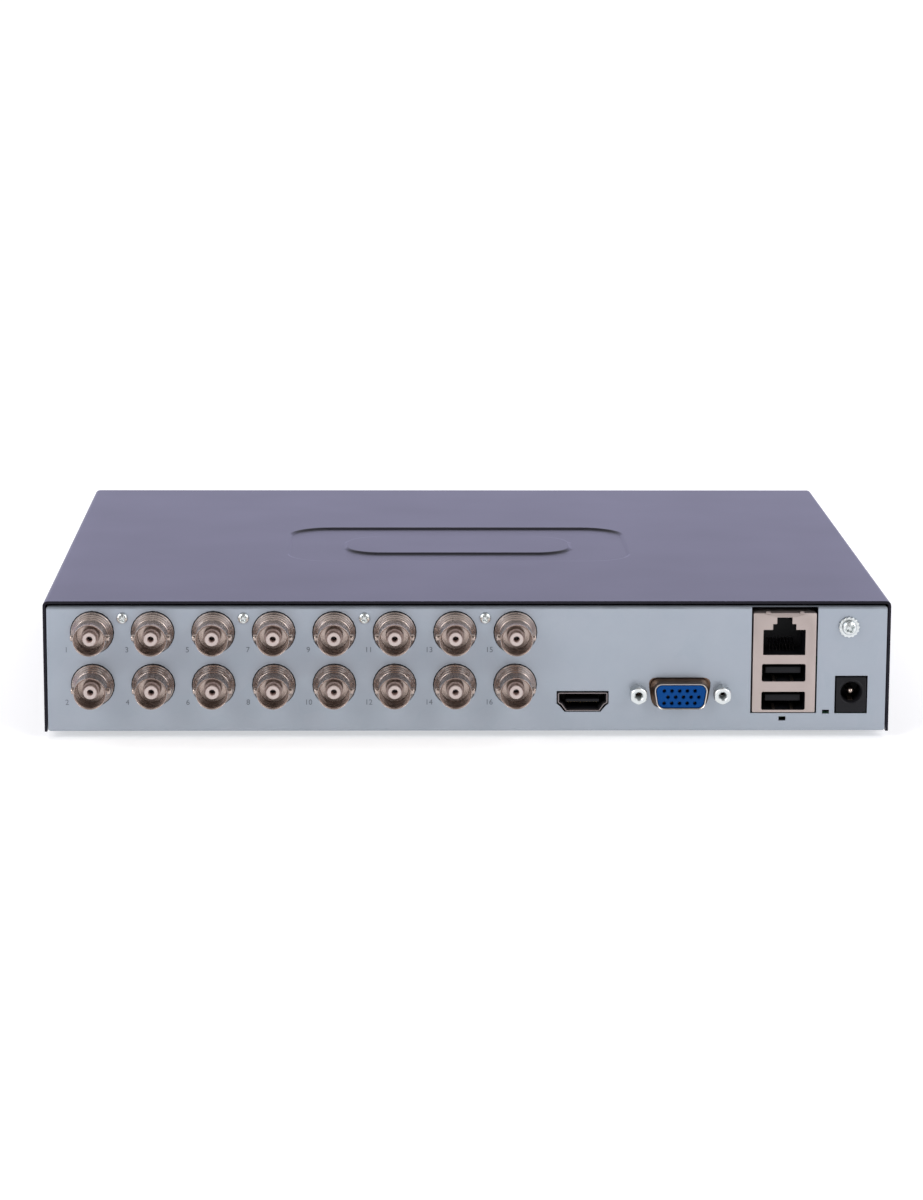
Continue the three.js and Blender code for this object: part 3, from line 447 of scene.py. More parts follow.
plastics = {
    # name, darker and paler tone, roughness, grain size and depth in millimetres
    "black": ("blackMoulding", (0.004, 0.004, 0.006), (0.007, 0.007, 0.009), 0.42, 0.3, 0.006),
    "blue": ("blueMoulding", (0.001, 0.040, 0.175), (0.002, 0.052, 0.21), 0.5, 0.3, 0.006),
    "fascia": ("fasciaMoulding", (0.008, 0.008, 0.010), (0.014, 0.014, 0.016), 0.30, 0.35, 0.010),
    "smoked": ("smokedAcrylic", (0.014, 0.004, 0.006), (0.022, 0.006, 0.009), 0.05, 2.0, 0.001),
    "clear": ("clearAcrylic", (0.80, 0.83, 0.86), (0.88, 0.90, 0.92), 0.08, 1.5, 0.002),
    "rubber": ("footRubber", (0.012, 0.012, 0.012), (0.022, 0.021, 0.020), 0.70, 0.5, 0.03),
    "red": ("redJacket", (0.34, 0.018, 0.012), (0.42, 0.03, 0.02), 0.42, 0.5, 0.006),
    "cable": ("blackJacket", (0.010, 0.010, 0.011), (0.02, 0.02, 0.02), 0.5, 0.5, 0.01),
    "mark": ("panelMark", (0.10, 0.115, 0.14), (0.15, 0.165, 0.19), 0.6, 0.2, 0.002),
}
gloss = {"black": {"specular": 0.2}, "blue": {"specular": 0.08},
         "fascia": {"coat": 0.15}, "smoked": {"coat": 0.5}}
metalKeys = {"zinc": "brightZinc", "tin": "tinPlate", "steel": "drawnSteel", "gold": "goldContact",
             "aluminium": "castAluminium", "disc": "mirrorDisc"}
finishes = {
    "coat": powderCoat(), "sheet": galvanised(), "nickel": castNickel(), "turned": turnedNickel(),
    "shell": shellPlate(), "white": insulatorMoulding(), "board": circuitBoard(),
}
finishes.update({key: metal(name) for key, name in metalKeys.items()})
finishes.update({key: moulding(*values, **gloss.get(key, {})) for key, values in plastics.items()})
print("finishes made:", len(finishes))


# Surfaces.

meshing = {"doubles": 0.002, "smooth": 38, "bevelFrom": 40, "leastArc": 0.02}

axes = {
    "out": [[1, 0, 0], [0, 0, 1], [0, -1, 0]],
    "up": [[1, 0, 0], [0, 1, 0], [0, 0, 1]],
    "right": [[0, 1, 0], [0, 0, 1], [1, 0, 0]],
    "left": [[0, -1, 0], [0, 0, 1], [-1, 0, 0]],
    "front": [[-1, 0, 0], [0, 0, 1], [0, 1, 0]],
}


def placed(surface, axis, centre):
    # a surface drawn about its own axis, set at a centre with its +Z along the named axis
    points, faces = surface
    return points @ np.array(axes[axis], float) + np.array(centre, float), faces


def gridSurface(points, wrapRows=False, wrapColumns=False):
    # quads between the neighbours of a rows x columns grid of points
    rows, columns = points.shape[:2]
    i = np.arange(rows if wrapRows else rows - 1)[:, None]
    j = np.arange(columns if wrapColumns else columns - 1)[None]
    nextI, nextJ = (i + 1) % rows, (j + 1) % columns
    quads = [i * columns + j, i * columns + nextJ, nextI * columns + nextJ, nextI * columns + j]
    return points.reshape(-1, 3), np.stack(quads, -1).reshape(-1, 4).tolist()


def polar(radius, angle, height):
    # points at a radius and an angle about +Z, and a height along it
    parts = np.broadcast_arrays(radius * np.cos(angle), radius * np.sin(angle), height)
    return np.stack(parts, -1)


def together(*surfaces):
    # several surfaces in one, their point numbers shifted along
    points, faces, start = [], [], 0
    for some, these in surfaces:
        points.append(some)
        faces += [[start + k for k in face] for face in these]
        start += len(some)
    return np.concatenate(points), faces


def softened(profile, fillet, closed=False):
    # each corner of a polyline becomes a short Bezier of three points, with a support point each side
    share, support = 0.33, 1.4
    p = np.array(profile, float)
    before, after = np.roll(p, 1, 0), np.roll(p, -1, 0)
    back, ahead = before - p, after - p
    backLength = np.linalg.norm(back, axis=1, keepdims=True)
    aheadLength = np.linalg.norm(ahead, axis=1, keepdims=True)
    size = np.minimum(np.minimum(backLength, aheadLength) * share, fillet)
    back, ahead = back / backLength * size, ahead / aheadLength * size
    bend = 0.25 * (p + back) + 0.5 * p + 0.25 * (p + ahead)
    five = np.stack([p + back * support, p + back, bend, p + ahead, p + ahead * support], 1)
    if closed:
        return five.reshape(-1, 2)
    return np.concatenate([p[:1], five[1:-1].reshape(-1, 2), p[-1:]])


def revolved(profile, segments=48, wobble=None, closed=False):
    # radius and height pairs carried round the axis; wobble adds to the radius by angle and height
    profile = np.array(profile, float)
    angle = np.arange(segments) * 2 * np.pi / segments
    radius = profile[:, :1] * np.ones(segments)
    height = profile[:, 1:] * np.ones(segments)
    if wobble is not None:
        radius = radius + wobble(angle[None], height, radius)
    return gridSurface(polar(radius, angle, height), closed, True)


def unit(v):
    # each row over its own length
    return v / np.linalg.norm(v, axis=1, keepdims=True)


def cornered(cornerPoints, radius, inset=0.0, steps=4):
    # a counter-clockwise polygon moved inwards by the inset, with arcs in place of its corners: an arc
    # starts its radius times the tangent of half the turn before the corner, and keeps a least radius
    p = np.array(cornerPoints, float)
    ahead = unit(np.roll(p, -1, 0) - p)
    behind = unit(p - np.roll(p, 1, 0))
    leftAhead = np.column_stack([-ahead[:, 1], ahead[:, 0]])
    leftBehind = np.column_stack([-behind[:, 1], behind[:, 0]])
    turn = np.arctan2(behind[:, 0] * ahead[:, 1] - behind[:, 1] * ahead[:, 0], (behind * ahead).sum(1))
    moved = p + inset * (leftAhead + leftBehind) / (1 + (leftAhead * leftBehind).sum(1, keepdims=True))
    arc = np.maximum(radius - inset * np.sign(turn), meshing["leastArc"])
    start = moved - behind * (arc * np.tan(np.abs(turn) / 2))[:, None]
    centre = start + leftBehind * (arc * np.sign(turn))[:, None]
    first = np.arctan2(start[:, 1] - centre[:, 1], start[:, 0] - centre[:, 0])
    angle = first[:, None] + turn[:, None] * np.linspace(0, 1, steps)
    points = centre[:, None] + arc[:, None, None] * np.stack([np.cos(angle), np.sin(angle)], -1)
    return points.reshape(-1, 2)


def lofted(outlineAt, profile, closed=False):
    # an outline carried along inset and height pairs; an open loft is closed by a flat face at each end
    rings = []
    for inset, height in profile:
        ring = outlineAt(inset)
        rings.append(np.column_stack([ring, np.full(len(ring), height)]))
    points, faces = gridSurface(np.stack(rings), closed, True)
    if not closed:
        count = len(rings[0])
        faces.append(list(range(count))[::-1])
        faces.append(list(range(len(points) - count, len(points))))
    return points, faces


def rectangle(x0, y0, x1, y1):
    return [(x0, y0), (x1, y0), (x1, y1), (x0, y1)]


def block(x0, y0, x1, y1, low, high, radius=0.3, edge=0.15, steps=4):
    # a box with round upright corners and softened ends, drawn about its own axis
    shape = rectangle(x0, y0, x1, y1)
    part = 0.3 * edge
    profile = [(edge, low), (part, low + part), (0, low + edge),
               (0, high - edge), (part, high - part), (edge, high)]
    return lofted(lambda inset: cornered(shape, radius, inset, steps), profile)


def nodeBlock(node, low, high, radius, edge):
    # a block over a CAD node's width and height, between two reaches out from the rear panel
    start, end = corners(node)
    return block(start[0], start[2] - caseBottom, end[0], end[2] - caseBottom, low, high, radius, edge)


screws = {
    "turn": 0.5, "rings": 34, "segments": 72, "rimShare": 0.86, "rimDrop": 0.35, "shankLength": 3,
    "cover": {"radius": 3.0, "dome": 0.12, "rim": 0.65, "arm": 1.9, "width": 0.4, "depth": 0.55,
              "low": 0, "shank": 1.5},
    "block": {"radius": 1.65, "dome": 0.45, "rim": 0.7, "arm": 1.1, "width": 0.3, "depth": 0.8,
              "low": 0.02, "shank": 0.8},
    "earth": {"radius": 2.15, "dome": 0.6, "rim": 0.9, "arm": 1.5, "width": 0.5, "depth": 1.4,
              "low": 1.4, "shank": 1.45},
}


def crossHead(radius, dome, rim, arm, width, depth, low, shank):
    # a screw head as a height over a disc: a dome less a cross recess, with its rim, underside and shank;
    # the recess is full where a point's offset from an arm's middle line is under a tapering half width
    angle = np.arange(screws["segments"])[None] * 2 * np.pi / screws["segments"]
    share = np.linspace(0, 1, screws["rings"])[:, None]
    ring = share * radius
    fromArm = angle - screws["turn"]
    a, b = np.abs(ring * np.cos(fromArm)), np.abs(ring * np.sin(fromArm))
    narrow, wide = np.minimum(a, b), np.maximum(a, b)
    across = np.clip((width * (1.25 - 0.5 * wide / arm) - narrow) / (0.5 * width) + 0.5, 0, 1)
    along = np.clip((arm - wide) / (0.35 * arm), 0, 1)
    edge = np.clip((share - screws["rimShare"]) / (1 - screws["rimShare"]), 0, 1)
    domed = low + rim + dome * (1 - share ** 2) - rim * screws["rimDrop"] * edge ** 2
    foot = low - screws["shankLength"]
    below = np.array([(radius, low + 0.1), (radius - 0.08, low), (shank, low), (shank, foot), (0, foot)])
    top = polar(ring, angle, domed - depth * across * along)
    sides = polar(below[:, :1], angle, below[:, 1:])
    return gridSurface(np.concatenate([top, sides]), False, True)


def makePiece(name, surface, finish, stands=(), body=case, smooth=meshing["smooth"]):
    # the mesh object of a surface: doubles merged, faces outwards, riding on its body
    points, faces = surface
    mesh = bpy.data.meshes.new(name)
    mesh.from_pydata((points * mm).tolist(), [], faces)
    work = bmesh.new()
    work.from_mesh(mesh)
    bmesh.ops.remove_doubles(work, verts=work.verts, dist=meshing["doubles"] * mm)
    bmesh.ops.recalc_face_normals(work, faces=work.faces)
    work.to_mesh(mesh)
    work.free()
    shadeMesh(mesh, smooth)
    piece = bpy.data.objects.new(name, mesh)
    bpy.context.scene.collection.objects.link(piece)
    mesh.materials.append(finishes[finish])
    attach(piece, body)
    if stands:
        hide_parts(*stands)
    return piece


def shadeMesh(mesh, smooth):
    # smooth shading, broken where two faces meet at more than the given degrees
    mesh.shade_smooth()
    mesh.set_sharp_from_angle(angle=math.radians(smooth))


def cutAway(piece, cutter):
    # takes the cutter's solid out of a piece's mesh
    tool = makePiece("cutter", cutter, "black")
    carve = piece.modifiers.new("carve", "BOOLEAN")
    carve.operation = "DIFFERENCE"
    carve.solver = "EXACT"
    carve.object = tool
    graph = bpy.context.evaluated_depsgraph_get()
    mesh = bpy.data.meshes.new_from_object(piece.evaluated_get(graph))
    piece.modifiers.clear()
    old = piece.data
    piece.data = mesh
    mesh.name = old.name
    bpy.data.meshes.remove(old)
    bpy.data.objects.remove(tool)
    shadeMesh(mesh, meshing["smooth"])


def roundEdges(piece, width, segments=2):
    # a narrow bevel along the edges that cuts have left sharp
    bevel = piece.modifiers.new("roundEdges", "BEVEL")
    bevel.width = width * mm
    bevel.segments = segments
    bevel.limit_method = "ANGLE"
    bevel.angle_limit = math.radians(meshing["bevelFrom"])
    bevel.harden_normals = True


makeCamera()
makeStudio()
print("camera and studio made")


# Cover.

cover = {
    "sheet": 0.8, "bend": 1.5,
    "recess": ((-55, -30), (53, 30), 13), "island": ((-37, -16), (35, 14), 11), "depth": 0.6, "wall": 1.0,
    "ventCount": 9, "ventPitch": 5, "ventWidth": 2, "ventFirst": -50, "ventLow": 12, "ventHigh": 30,
    "screwY": 42, "screwHeight": 7.2, "screwHole": 6.6, "screwSeat": 0.85,
    "coarseLines": 40, "fineStep": 0.36, "leastStep": 0.2, "cellMargin": 0.6, "holePoints": 24,
}


def inside(x, y, low, high, radius):
    # 1 inside a rounded rectangle and 0 outside it, with a smooth step over the wall's width
    low, high = np.array(low, float), np.array(high, float)
    half, centre = (high - low) / 2 - radius, (high + low) / 2
    dx, dy = np.abs(x - centre[0]) - half[0], np.abs(y - centre[1]) - half[1]
    outside = np.hypot(np.maximum(dx, 0), np.maximum(dy, 0)) + np.minimum(np.maximum(dx, dy), 0)
    t = np.clip((radius - outside) / cover["wall"] + 0.5, 0, 1)
    return t * t * (3 - 2 * t)


def recessAt(x, y):
    # how far the pressed panel lies below the top: a rounded hollow less the island left standing in it
    return cover["depth"] * (inside(x, y, *cover["recess"]) - inside(x, y, *cover["island"]))


def fineLines(low, high, axis):
    # grid lines over a span: close together where a pressed wall or corner lies; the last line but one
    # gives way, so that the last keeps its distance
    lines = [np.linspace(low, high, cover["coarseLines"])]
    for start, end, radius in (cover["recess"], cover["island"]):
        for side, inwards in ((start[axis], 1), (end[axis], -1)):
            lines.append(side + inwards * np.arange(-1, radius + 0.5, cover["fineStep"]))
    lines = np.unique(np.concatenate(lines).round(3))
    keep = np.concatenate([[True], np.diff(lines) > cover["leastStep"]])
    keep[-2:] = [False, True]
    return lines[keep]


def holeRing(width, height):
    # a slot with round ends, or a circle, from the lower left diagonal round
    count = cover["holePoints"]
    angle = np.radians(225) + np.arange(count) * 2 * np.pi / count
    radius = width / 2
    straight = np.sign(np.sin(angle)) * (height / 2 - radius)
    return np.column_stack([radius * np.cos(angle), radius * np.sin(angle) + straight])


def coverHoles():
    # every hole of one side as its cell in Y and height, and its ring about the cell's middle
    margin = cover["cellMargin"]
    holes = []
    low, high = caseBottom + cover["ventLow"], caseBottom + cover["ventHigh"]
    width, size = cover["ventWidth"], cover["screwHole"]
    for k in range(cover["ventCount"]):
        y = cover["ventFirst"] + k * cover["ventPitch"]
        cell = (y - margin, y + width + margin, low - margin, high + margin)
        holes.append((cell, holeRing(width, high - low)))
    y, z, reach = cover["screwY"], caseBottom + cover["screwHeight"], size / 2 + margin
    holes.append(((y - reach, y + reach, z - reach, z + reach), holeRing(size, size)))
    return holes


def coverSection(low, high, zs):
    # the bent sheet's outline from the right foot over the top to the left one, and its inward normals
    bend = cover["bend"]
    arc = np.linspace(0, np.pi / 2, 6)[1:-1]
    bow = np.column_stack([np.cos(arc), np.sin(arc)])
    xs = fineLines(low[0] + bend, high[0] - bend, 0)
    side = np.column_stack([np.full(len(zs), high[0]), zs])
    right = np.concatenate([side, np.array([high[0] - bend, high[2] - bend]) + bend * bow])
    rightIn = np.concatenate([np.tile([-1.0, 0.0], (len(zs), 1)), -bow])
    top = np.column_stack([xs[::-1], np.full(len(xs), high[2])])
    mirror = np.array([-1.0, 1.0])
    section = np.concatenate([right, top, (right * mirror)[::-1]])
    inward = np.concatenate([rightIn, np.tile([0.0, -1.0], (len(xs), 1)), (rightIn * mirror)[::-1]])
    return section, inward


def coverSurface():
    # the section carried along Y as an outer and an inner skin, joined at the rims and round each hole
    low, high = corners("top_cover")
    sheet = cover["sheet"]
    holes = coverHoles()
    zs = np.unique([low[2], high[2] - cover["bend"]] + [c for cell, ring in holes for c in cell[2:]])
    ys = fineLines(low[1], high[1], 1)
    rims = np.unique([c for cell, ring in holes for c in cell[:2]])
    ys = ys[np.abs(ys[:, None] - rims).min(1) > 0.05]
    ys = np.unique(np.concatenate([ys, rims]).round(4))
    section, inward = coverSection(low, high, zs)
    flat = (inward[:, 1] == -1.0)[None]
    skins = []
    for depth in (0, sheet):
        line = section + inward * depth
        x, y = np.meshgrid(line[:, 0], ys)
        z = np.tile(line[:, 1], (len(ys), 1)) - recessAt(x, y) * flat
        skins.append(np.stack([x, y, z], -1))
    rows, columns = skins[0].shape[:2]
    points, faces = gridSurface(skins[0])
    inner = [[k + rows * columns for k in face] for face in faces]
    points = [points, skins[1].reshape(-1, 3)]
    count = 2 * rows * columns
    removed = set()
    extra = []
    # each hole takes out the quads of its cell, and four fans of each skin join the cell to the ring
    for cell, ring in holes:
        i, last = (int(np.searchsorted(ys, edge - 1e-3)) for edge in cell[:2])
        j = int(np.searchsorted(zs, cell[2] - 1e-3))
        centre = ((cell[0] + cell[1]) / 2, (cell[2] + cell[3]) / 2)
        size = len(ring)
        for across in (1, -1):
            a, b = (j, j + 1) if across == 1 else (columns - 1 - j, columns - 2 - j)
            removed.update(r * (columns - 1) + min(a, b) for r in range(i, last))
            for skin in (0, 1):
                x = across * (high[0] - skin * sheet)
                points.append(np.column_stack([np.full(size, x), ring + np.array(centre)]))
                shift = skin * rows * columns
                along = range(i, last + 1)
                edges = [[r * columns + a for r in along], [last * columns + a, last * columns + b],
                         [r * columns + b for r in along[::-1]], [i * columns + b, i * columns + a]]
                for k, edge in enumerate(edges):
                    quarter = range(k * size // 4, (k + 1) * size // 4 + 1)
                    span = [count + n % size for n in quarter]
                    extra.append([shift + n for n in edge] + span[::-1])
                count += size
            extra += [[count - 2 * size + n, count - 2 * size + (n + 1) % size,
                       count - size + (n + 1) % size, count - size + n] for n in range(size)]
    keep = [n for n in range(len(faces)) if n not in removed]
    skin = rows * columns
    edges = [[r * columns + c for r in range(rows)] for c in (0, columns - 1)]
    edges += [[r * columns + c for c in range(columns)] for r in (0, rows - 1)]
    rims = [[p, q, q + skin, p + skin] for edge in edges for p, q in zip(edge, edge[1:])]
    return np.concatenate(points), [faces[n] for n in keep] + [inner[n] for n in keep] + extra + rims


makePiece("coverSheet", coverSurface(), "coat", ["top_cover"], smooth=30)
for side, node in (("left", "cover_screw_left"), ("right", "cover_screw_right")):
    low, high = corners(node)
    seat = high[0] - cover["screwSeat"] if side == "right" else low[0] + cover["screwSeat"]
    head = placed(crossHead(**screws["cover"]), side, (seat, *((low + high) / 2)[1:]))
    makePiece("coverScrew" + side.capitalize(), head, "zinc", [node])
print("cover made")


# Coaxial jacks.

jack = {
    "flange": 6.25, "barrel": 4.85, "mouth": 4.3, "throat": 2.4, "reach": 12.2, "floor": 3.7, "back": -0.8,
    "lugRadius": 1.0, "lugTip": 5.8, "lugOut": 7.7, "lugRoot": 4.4,
    "line": 0.16, "lineWidth": 0.004, "key": 0.30, "keyWidth": 0.012, "keyOut": 9.6, "keyHalf": 1.1,
    "insulator": 2.0, "insulatorOut": 10.6, "collar": 2.6, "collarOut": 7.4, "well": 0.93,
}


def partingLine(angle, height, radius):
    # a shallow groove along the top and bottom of the barrel, and a short key at the bottom: bells
    # in the sine of the angle, and for the key a flat-topped bell along the barrel
    j = jack
    upright = np.exp(-((np.abs(np.sin(angle)) - 1) / j["lineWidth"]) ** 2)
    onBarrel = (height > 1.1) & (height < j["reach"] - 0.3) & (radius > j["mouth"] + 0.3)
    lower = np.exp(-((np.sin(angle) + 1) / j["keyWidth"]) ** 2)
    key = np.exp(-((height - j["keyOut"]) / j["keyHalf"]) ** 4)
    return onBarrel * (j["key"] * lower * key - j["line"] * upright)


def jackShell():
    # flange, three coned steps, barrel and coned mouth as one profile turned about Y, and two bayonet lugs
    j = jack
    profile = [(j["throat"], j["back"]), (j["flange"], j["back"]), (j["flange"], 0.7), (5.86, 1.1),
               (5.82, 2.1), (5.52, 2.4), (5.48, 3.3), (5.17, 3.6), (5.1, 4.6), (j["barrel"], 4.8),
               (j["barrel"], 11.4), (4.74, j["reach"]), (4.66, j["reach"]), (j["mouth"], 11.8),
               (4.18, j["floor"]), (j["throat"], j["floor"])]
    soft = softened(profile, 0.13, closed=True)
    rings = np.linspace(5, 11, 7)[1:-1]
    along = np.column_stack([np.full(len(rings), j["barrel"]), rings])
    place = int(np.argmax((soft[:, 0] > j["barrel"] - 0.05) & (soft[:, 1] > 11)))
    soft = np.concatenate([soft[:place], along, soft[place:]])
    body = placed(revolved(soft, 96, partingLine, closed=True), "out", (0, 0, 0))
    lug = softened([(0, j["lugRoot"]), (j["lugRadius"], j["lugRoot"]), (j["lugRadius"], j["lugTip"]),
                    (0, j["lugTip"] + 0.05)], 0.28)
    lugs = [placed(revolved(lug, 20), side, (0, -j["lugOut"], 0)) for side in ("left", "right")]
    return together(body, *lugs)


def postProfile():
    # the insulator: a collar, a narrower post and the well in which the contact sits
    j = jack
    return softened([(0, 3.4), (j["collar"], 3.4), (j["collar"], j["collarOut"]),
                     (j["insulator"], j["collarOut"]), (j["insulator"], j["insulatorOut"]),
                     (j["well"], j["insulatorOut"]), (j["well"], 5.0), (0, 5.0)], 0.22)


def turnedAt(profile, segments, seats):
    # one profile turned about each of several seats' outward axes
    return together(*[placed(revolved(profile, segments), "out", seat) for seat in seats])


shellPoints, shellFaces = jackShell()
for number, node in enumerate(jackNodes, 1):
    x, _, z = middle(node)
    shell = (shellPoints + np.array([x, panelY, z]), shellFaces)
    makePiece(f"jackShell{number:02d}", shell, "turned", [node])

contact = softened([(0, 4.9), (0.9, 4.9), (0.9, 6.4), (0.72, 6.5), (0.68, 5.3), (0, 5.3)], 0.08)
for number, node in enumerate(blockNodes, 1):
    low, high = corners(node)
    near = [middle(name) for name in jackNodes if low[0] < middle(name)[0] < high[0]]
    seats = [(x, panelY, z) for x, y, z in near]
    body = nodeBlock(node, panelY - high[1], -1.1, 1.0, 0.3)
    makePiece(f"jackBlock{number}", placed(body, "out", panelBase), "black", [node])
    makePiece(f"insulators{number}", turnedAt(postProfile(), 36, seats), "white")
    makePiece(f"centreContacts{number}", turnedAt(contact, 24, seats), "steel")
    x, _, z = middle(f"block_screw_{number}")
    head = placed(crossHead(**screws["block"]), "out", (x, panelY, z))
    makePiece(f"blockScrew{number}", head, "zinc", [f"block_screw_{number}"])
print("coaxial jacks made:", len(jackNodes))


# Digital video socket.

digital = {
    "stepIn": 2.4, "stepHigh": 2.0, "wall": 0.36, "reach": 0.6, "depth": 11, "corner": 0.5,
    "contacts": 10, "pitch": 0.95, "contactWidth": 0.4,
}


def digitalSocket():
    # a folded steel shell with stepped lower corners, a black liner and back as painted shade inside it, a
    # tongue and contacts
    low, high = corners("digital_video_shell")
    half, tall = (high[0] - low[0]) / 2, (high[2] - low[2]) / 2
    step = -tall + digital["stepHigh"]
    shape = [(-half + digital["stepIn"], -tall), (half - digital["stepIn"], -tall), (half - 1, step),
             (half, step + 0.5), (half, tall), (-half, tall), (-half, step + 0.5), (-half + 1, step)]
    wall, reach, depth = digital["wall"], digital["reach"], digital["depth"]
    centre = ((low[0] + high[0]) / 2, panelY, (low[2] + high[2]) / 2)

    def around(inset):
        return cornered(shape, digital["corner"], inset, 5)

    profile = softened([(0, -depth), (0, reach), (wall, reach), (wall, -depth)], 0.12, closed=True)
    makePiece("digitalShell", placed(lofted(around, profile, True), "out", centre), "steel",
              ["digital_video_shell"])
    # painted shade: the black liner along the shell's walls and the black back stand in for the shade inside
    # the socket
    shadeLining = [(wall + 0.02, -depth), (wall + 0.02, -0.9), (wall + 0.2, -0.9), (wall + 0.2, -depth)]
    shadeLiner = lofted(around, softened(shadeLining, 0.05, closed=True), True)
    back = lofted(around, [(wall + 0.1, -depth), (wall + 0.1, -depth + 1)])
    makePiece("digitalShadeLiner", placed(together(shadeLiner, back), "out", centre), "black")
    tongue = placed(nodeBlock("digital_video_tongue", -depth + 0.5, -0.8, 0.2, 0.25), "out", panelBase)
    makePiece("digitalTongue", tongue, "black", ["digital_video_tongue"])
    z = corners("digital_video_tongue")[0][2] - centre[2]
    half = digital["contactWidth"] / 2
    pads = []
    for k in range(digital["contacts"]):
        x = (k - (digital["contacts"] - 1) / 2) * digital["pitch"]
        pads.append(block(x - half, z - 0.06, x + half, z + 0.1, -depth + 1, -1.2, 0.03, 0.03, 2))
    makePiece("digitalContacts", placed(together(*pads), "out", centre), "gold")


digitalSocket()


# Analog video socket.

analog = {
    "width": 16.5, "height": 7.7, "slant": 1.3, "radius": 2.2, "reach": 6, "flare": 1.0, "wall": 0.4,
    "face": 5.55, "pitch": 2.29, "rowPitch": 1.87, "rowShift": 0.25, "holesRight": 0.15, "holesDown": 0.2,
    "holeRadius": 0.54, "plate": (30.8, 12), "root": -1.9,
}


def dShape(inset):
    # the D outline, whose flare spreads half as far up and down as it does sideways
    a = analog
    half, tall = a["width"] / 2 - min(inset, 0) * 0.5, a["height"] / 2
    shape = [(-half + a["slant"], -tall), (half - a["slant"], -tall), (half, tall), (-half, tall)]
    return cornered(shape, a["radius"], inset if inset > 0 else inset * 0.5, 9)


def analogSocket():
    # a flared D shell on a plate behind the panel, and a moulded insert with fifteen lined holes
    a = analog
    low, high = corners("analog_video_shell")
    centre = ((low[0] + high[0]) / 2, panelY, (low[2] + high[2]) / 2)
    flare, root = -a["flare"], a["root"]
    profile = softened([(flare, root), (flare, 0.5), (-0.5, 1.1), (0, 2.0), (0, a["reach"]),
                        (a["wall"], a["reach"] - 0.35), (a["wall"], root)], 0.16, closed=True)
    makePiece("analogShell", placed(lofted(dShape, profile, True), "out", centre), "shell",
              ["analog_video_shell"], smooth=50)
    wide, tall = a["plate"]
    sheet = block(-wide / 2, -tall / 2, wide / 2, tall / 2, root, root + 0.8, 1.5)
    plate = makePiece("analogPlate", placed(sheet, "out", centre), "shell")
    cutAway(plate, placed(lofted(dShape, [(flare - 0.05, -3), (flare - 0.05, 0)]), "out", centre))
    wall, face, r = a["wall"], a["face"], a["holeRadius"]
    front = [(wall + 0.06, -1.8), (wall + 0.06, face - 0.3), (wall + 0.14, face - 0.1), (wall + 0.34, face)]
    insert = makePiece("analogInsert", placed(lofted(dShape, front), "out", centre), "blue",
                       ["analog_video_insert"])
    hole = [(0, 2.2), (r, 2.2), (r, face - 0.22), (r + 0.22, face + 0.02), (r + 0.22, 6.2), (0, 6.2)]
    tube = [(0, 2.1), (r - 0.04, 2.1), (r - 0.04, 2.9), (r - 0.14, 3.0), (r - 0.18, 2.5), (0, 2.5)]
    seats = []
    for row in (-1, 0, 1):
        shift = a["rowShift"] if row == 0 else -a["rowShift"]
        for column in range(-2, 3):
            x = centre[0] + (column + shift) * a["pitch"] + a["holesRight"]
            seats.append((x, panelY, centre[2] + row * a["rowPitch"] - a["holesDown"]))
    cutAway(insert, turnedAt(hole, 20, seats))
    makePiece("analogContacts", turnedAt(softened(tube, 0.05), 16, seats), "steel")


hexagon = {
    "flat": 4.75, "top": 5.0, "foot": -5.0, "shank": 1.35, "seat": 0.04, "bottom": -3.6, "segments": 96,
    "hole": 1.12, "mouth": 0.28, "mouthDepth": 0.16, "threadPitch": 0.635, "threadDepth": 0.09,
}


def hexagonScrew():
    # a hexagon whose corners a cone takes off, with a threaded hole: a ripple that climbs with the angle
    h = hexagon
    count, top = h["segments"], h["top"]
    angle = np.arange(count)[None] * 2 * np.pi / count
    flats = h["flat"] / 2 / np.cos((angle + np.pi / 6) % (np.pi / 3) - np.pi / 6)
    heights = np.array([h["seat"], 0.12, 0.4, 2.5, 4.55, 4.72, 4.86, 4.95, top])[:, None]
    limit = np.array([2.5, 2.62, 2.72, 2.72, 2.72, 2.6, 2.46, 2.34, 2.24])[:, None]
    down = np.linspace(top, h["bottom"], 150)[:, None]
    mouth = h["mouth"] * np.exp(-(top - down) / h["mouthDepth"])
    climb = np.sin(2 * np.pi * down / h["threadPitch"] - angle)
    inner = h["hole"] + mouth + h["threadDepth"] * climb * np.clip((top - down) / 0.3, 0, 1)
    closed = np.zeros((1, count))
    radius = [closed, np.full((2, count), h["shank"]), np.minimum(flats, limit), inner, closed]
    height = [[[h["foot"]], [h["foot"]], [h["seat"]]], heights, down, [[h["bottom"]]]]
    return gridSurface(polar(np.concatenate(radius), angle, np.concatenate(height)), False, True)


analogSocket()
for side in ("left", "right"):
    node = "jack_screw_" + side
    x, _, z = middle(node)
    makePiece("jackScrew" + side.capitalize(), placed(hexagonScrew(), "out", (x, panelY, z)), "zinc", [node],
              smooth=25)
print("video sockets made")


# Network and serial stack.

stack = {
    "wall": 0.4, "depth": 22, "inset": 0.7,
    "network": (88, 23.3, 100.6, 30.95), "steps": ((3.47, 32.7), (2.27, 34.7)),
    "wires": 8, "wirePitch": 1.02, "tabs": (4.3, -4.4), "flapTop": 6.3, "flapFoot": 2.9,
    "serial": ((87.75, 15.2, 100.8, 20.55), (87.75, 6.55, 100.8, 12.1)), "serialDepth": 12,
    "contactPitch": 2.35, "contactWidths": (1.0, 0.9, 0.9, 1.0), "springOffset": 2.7,
}


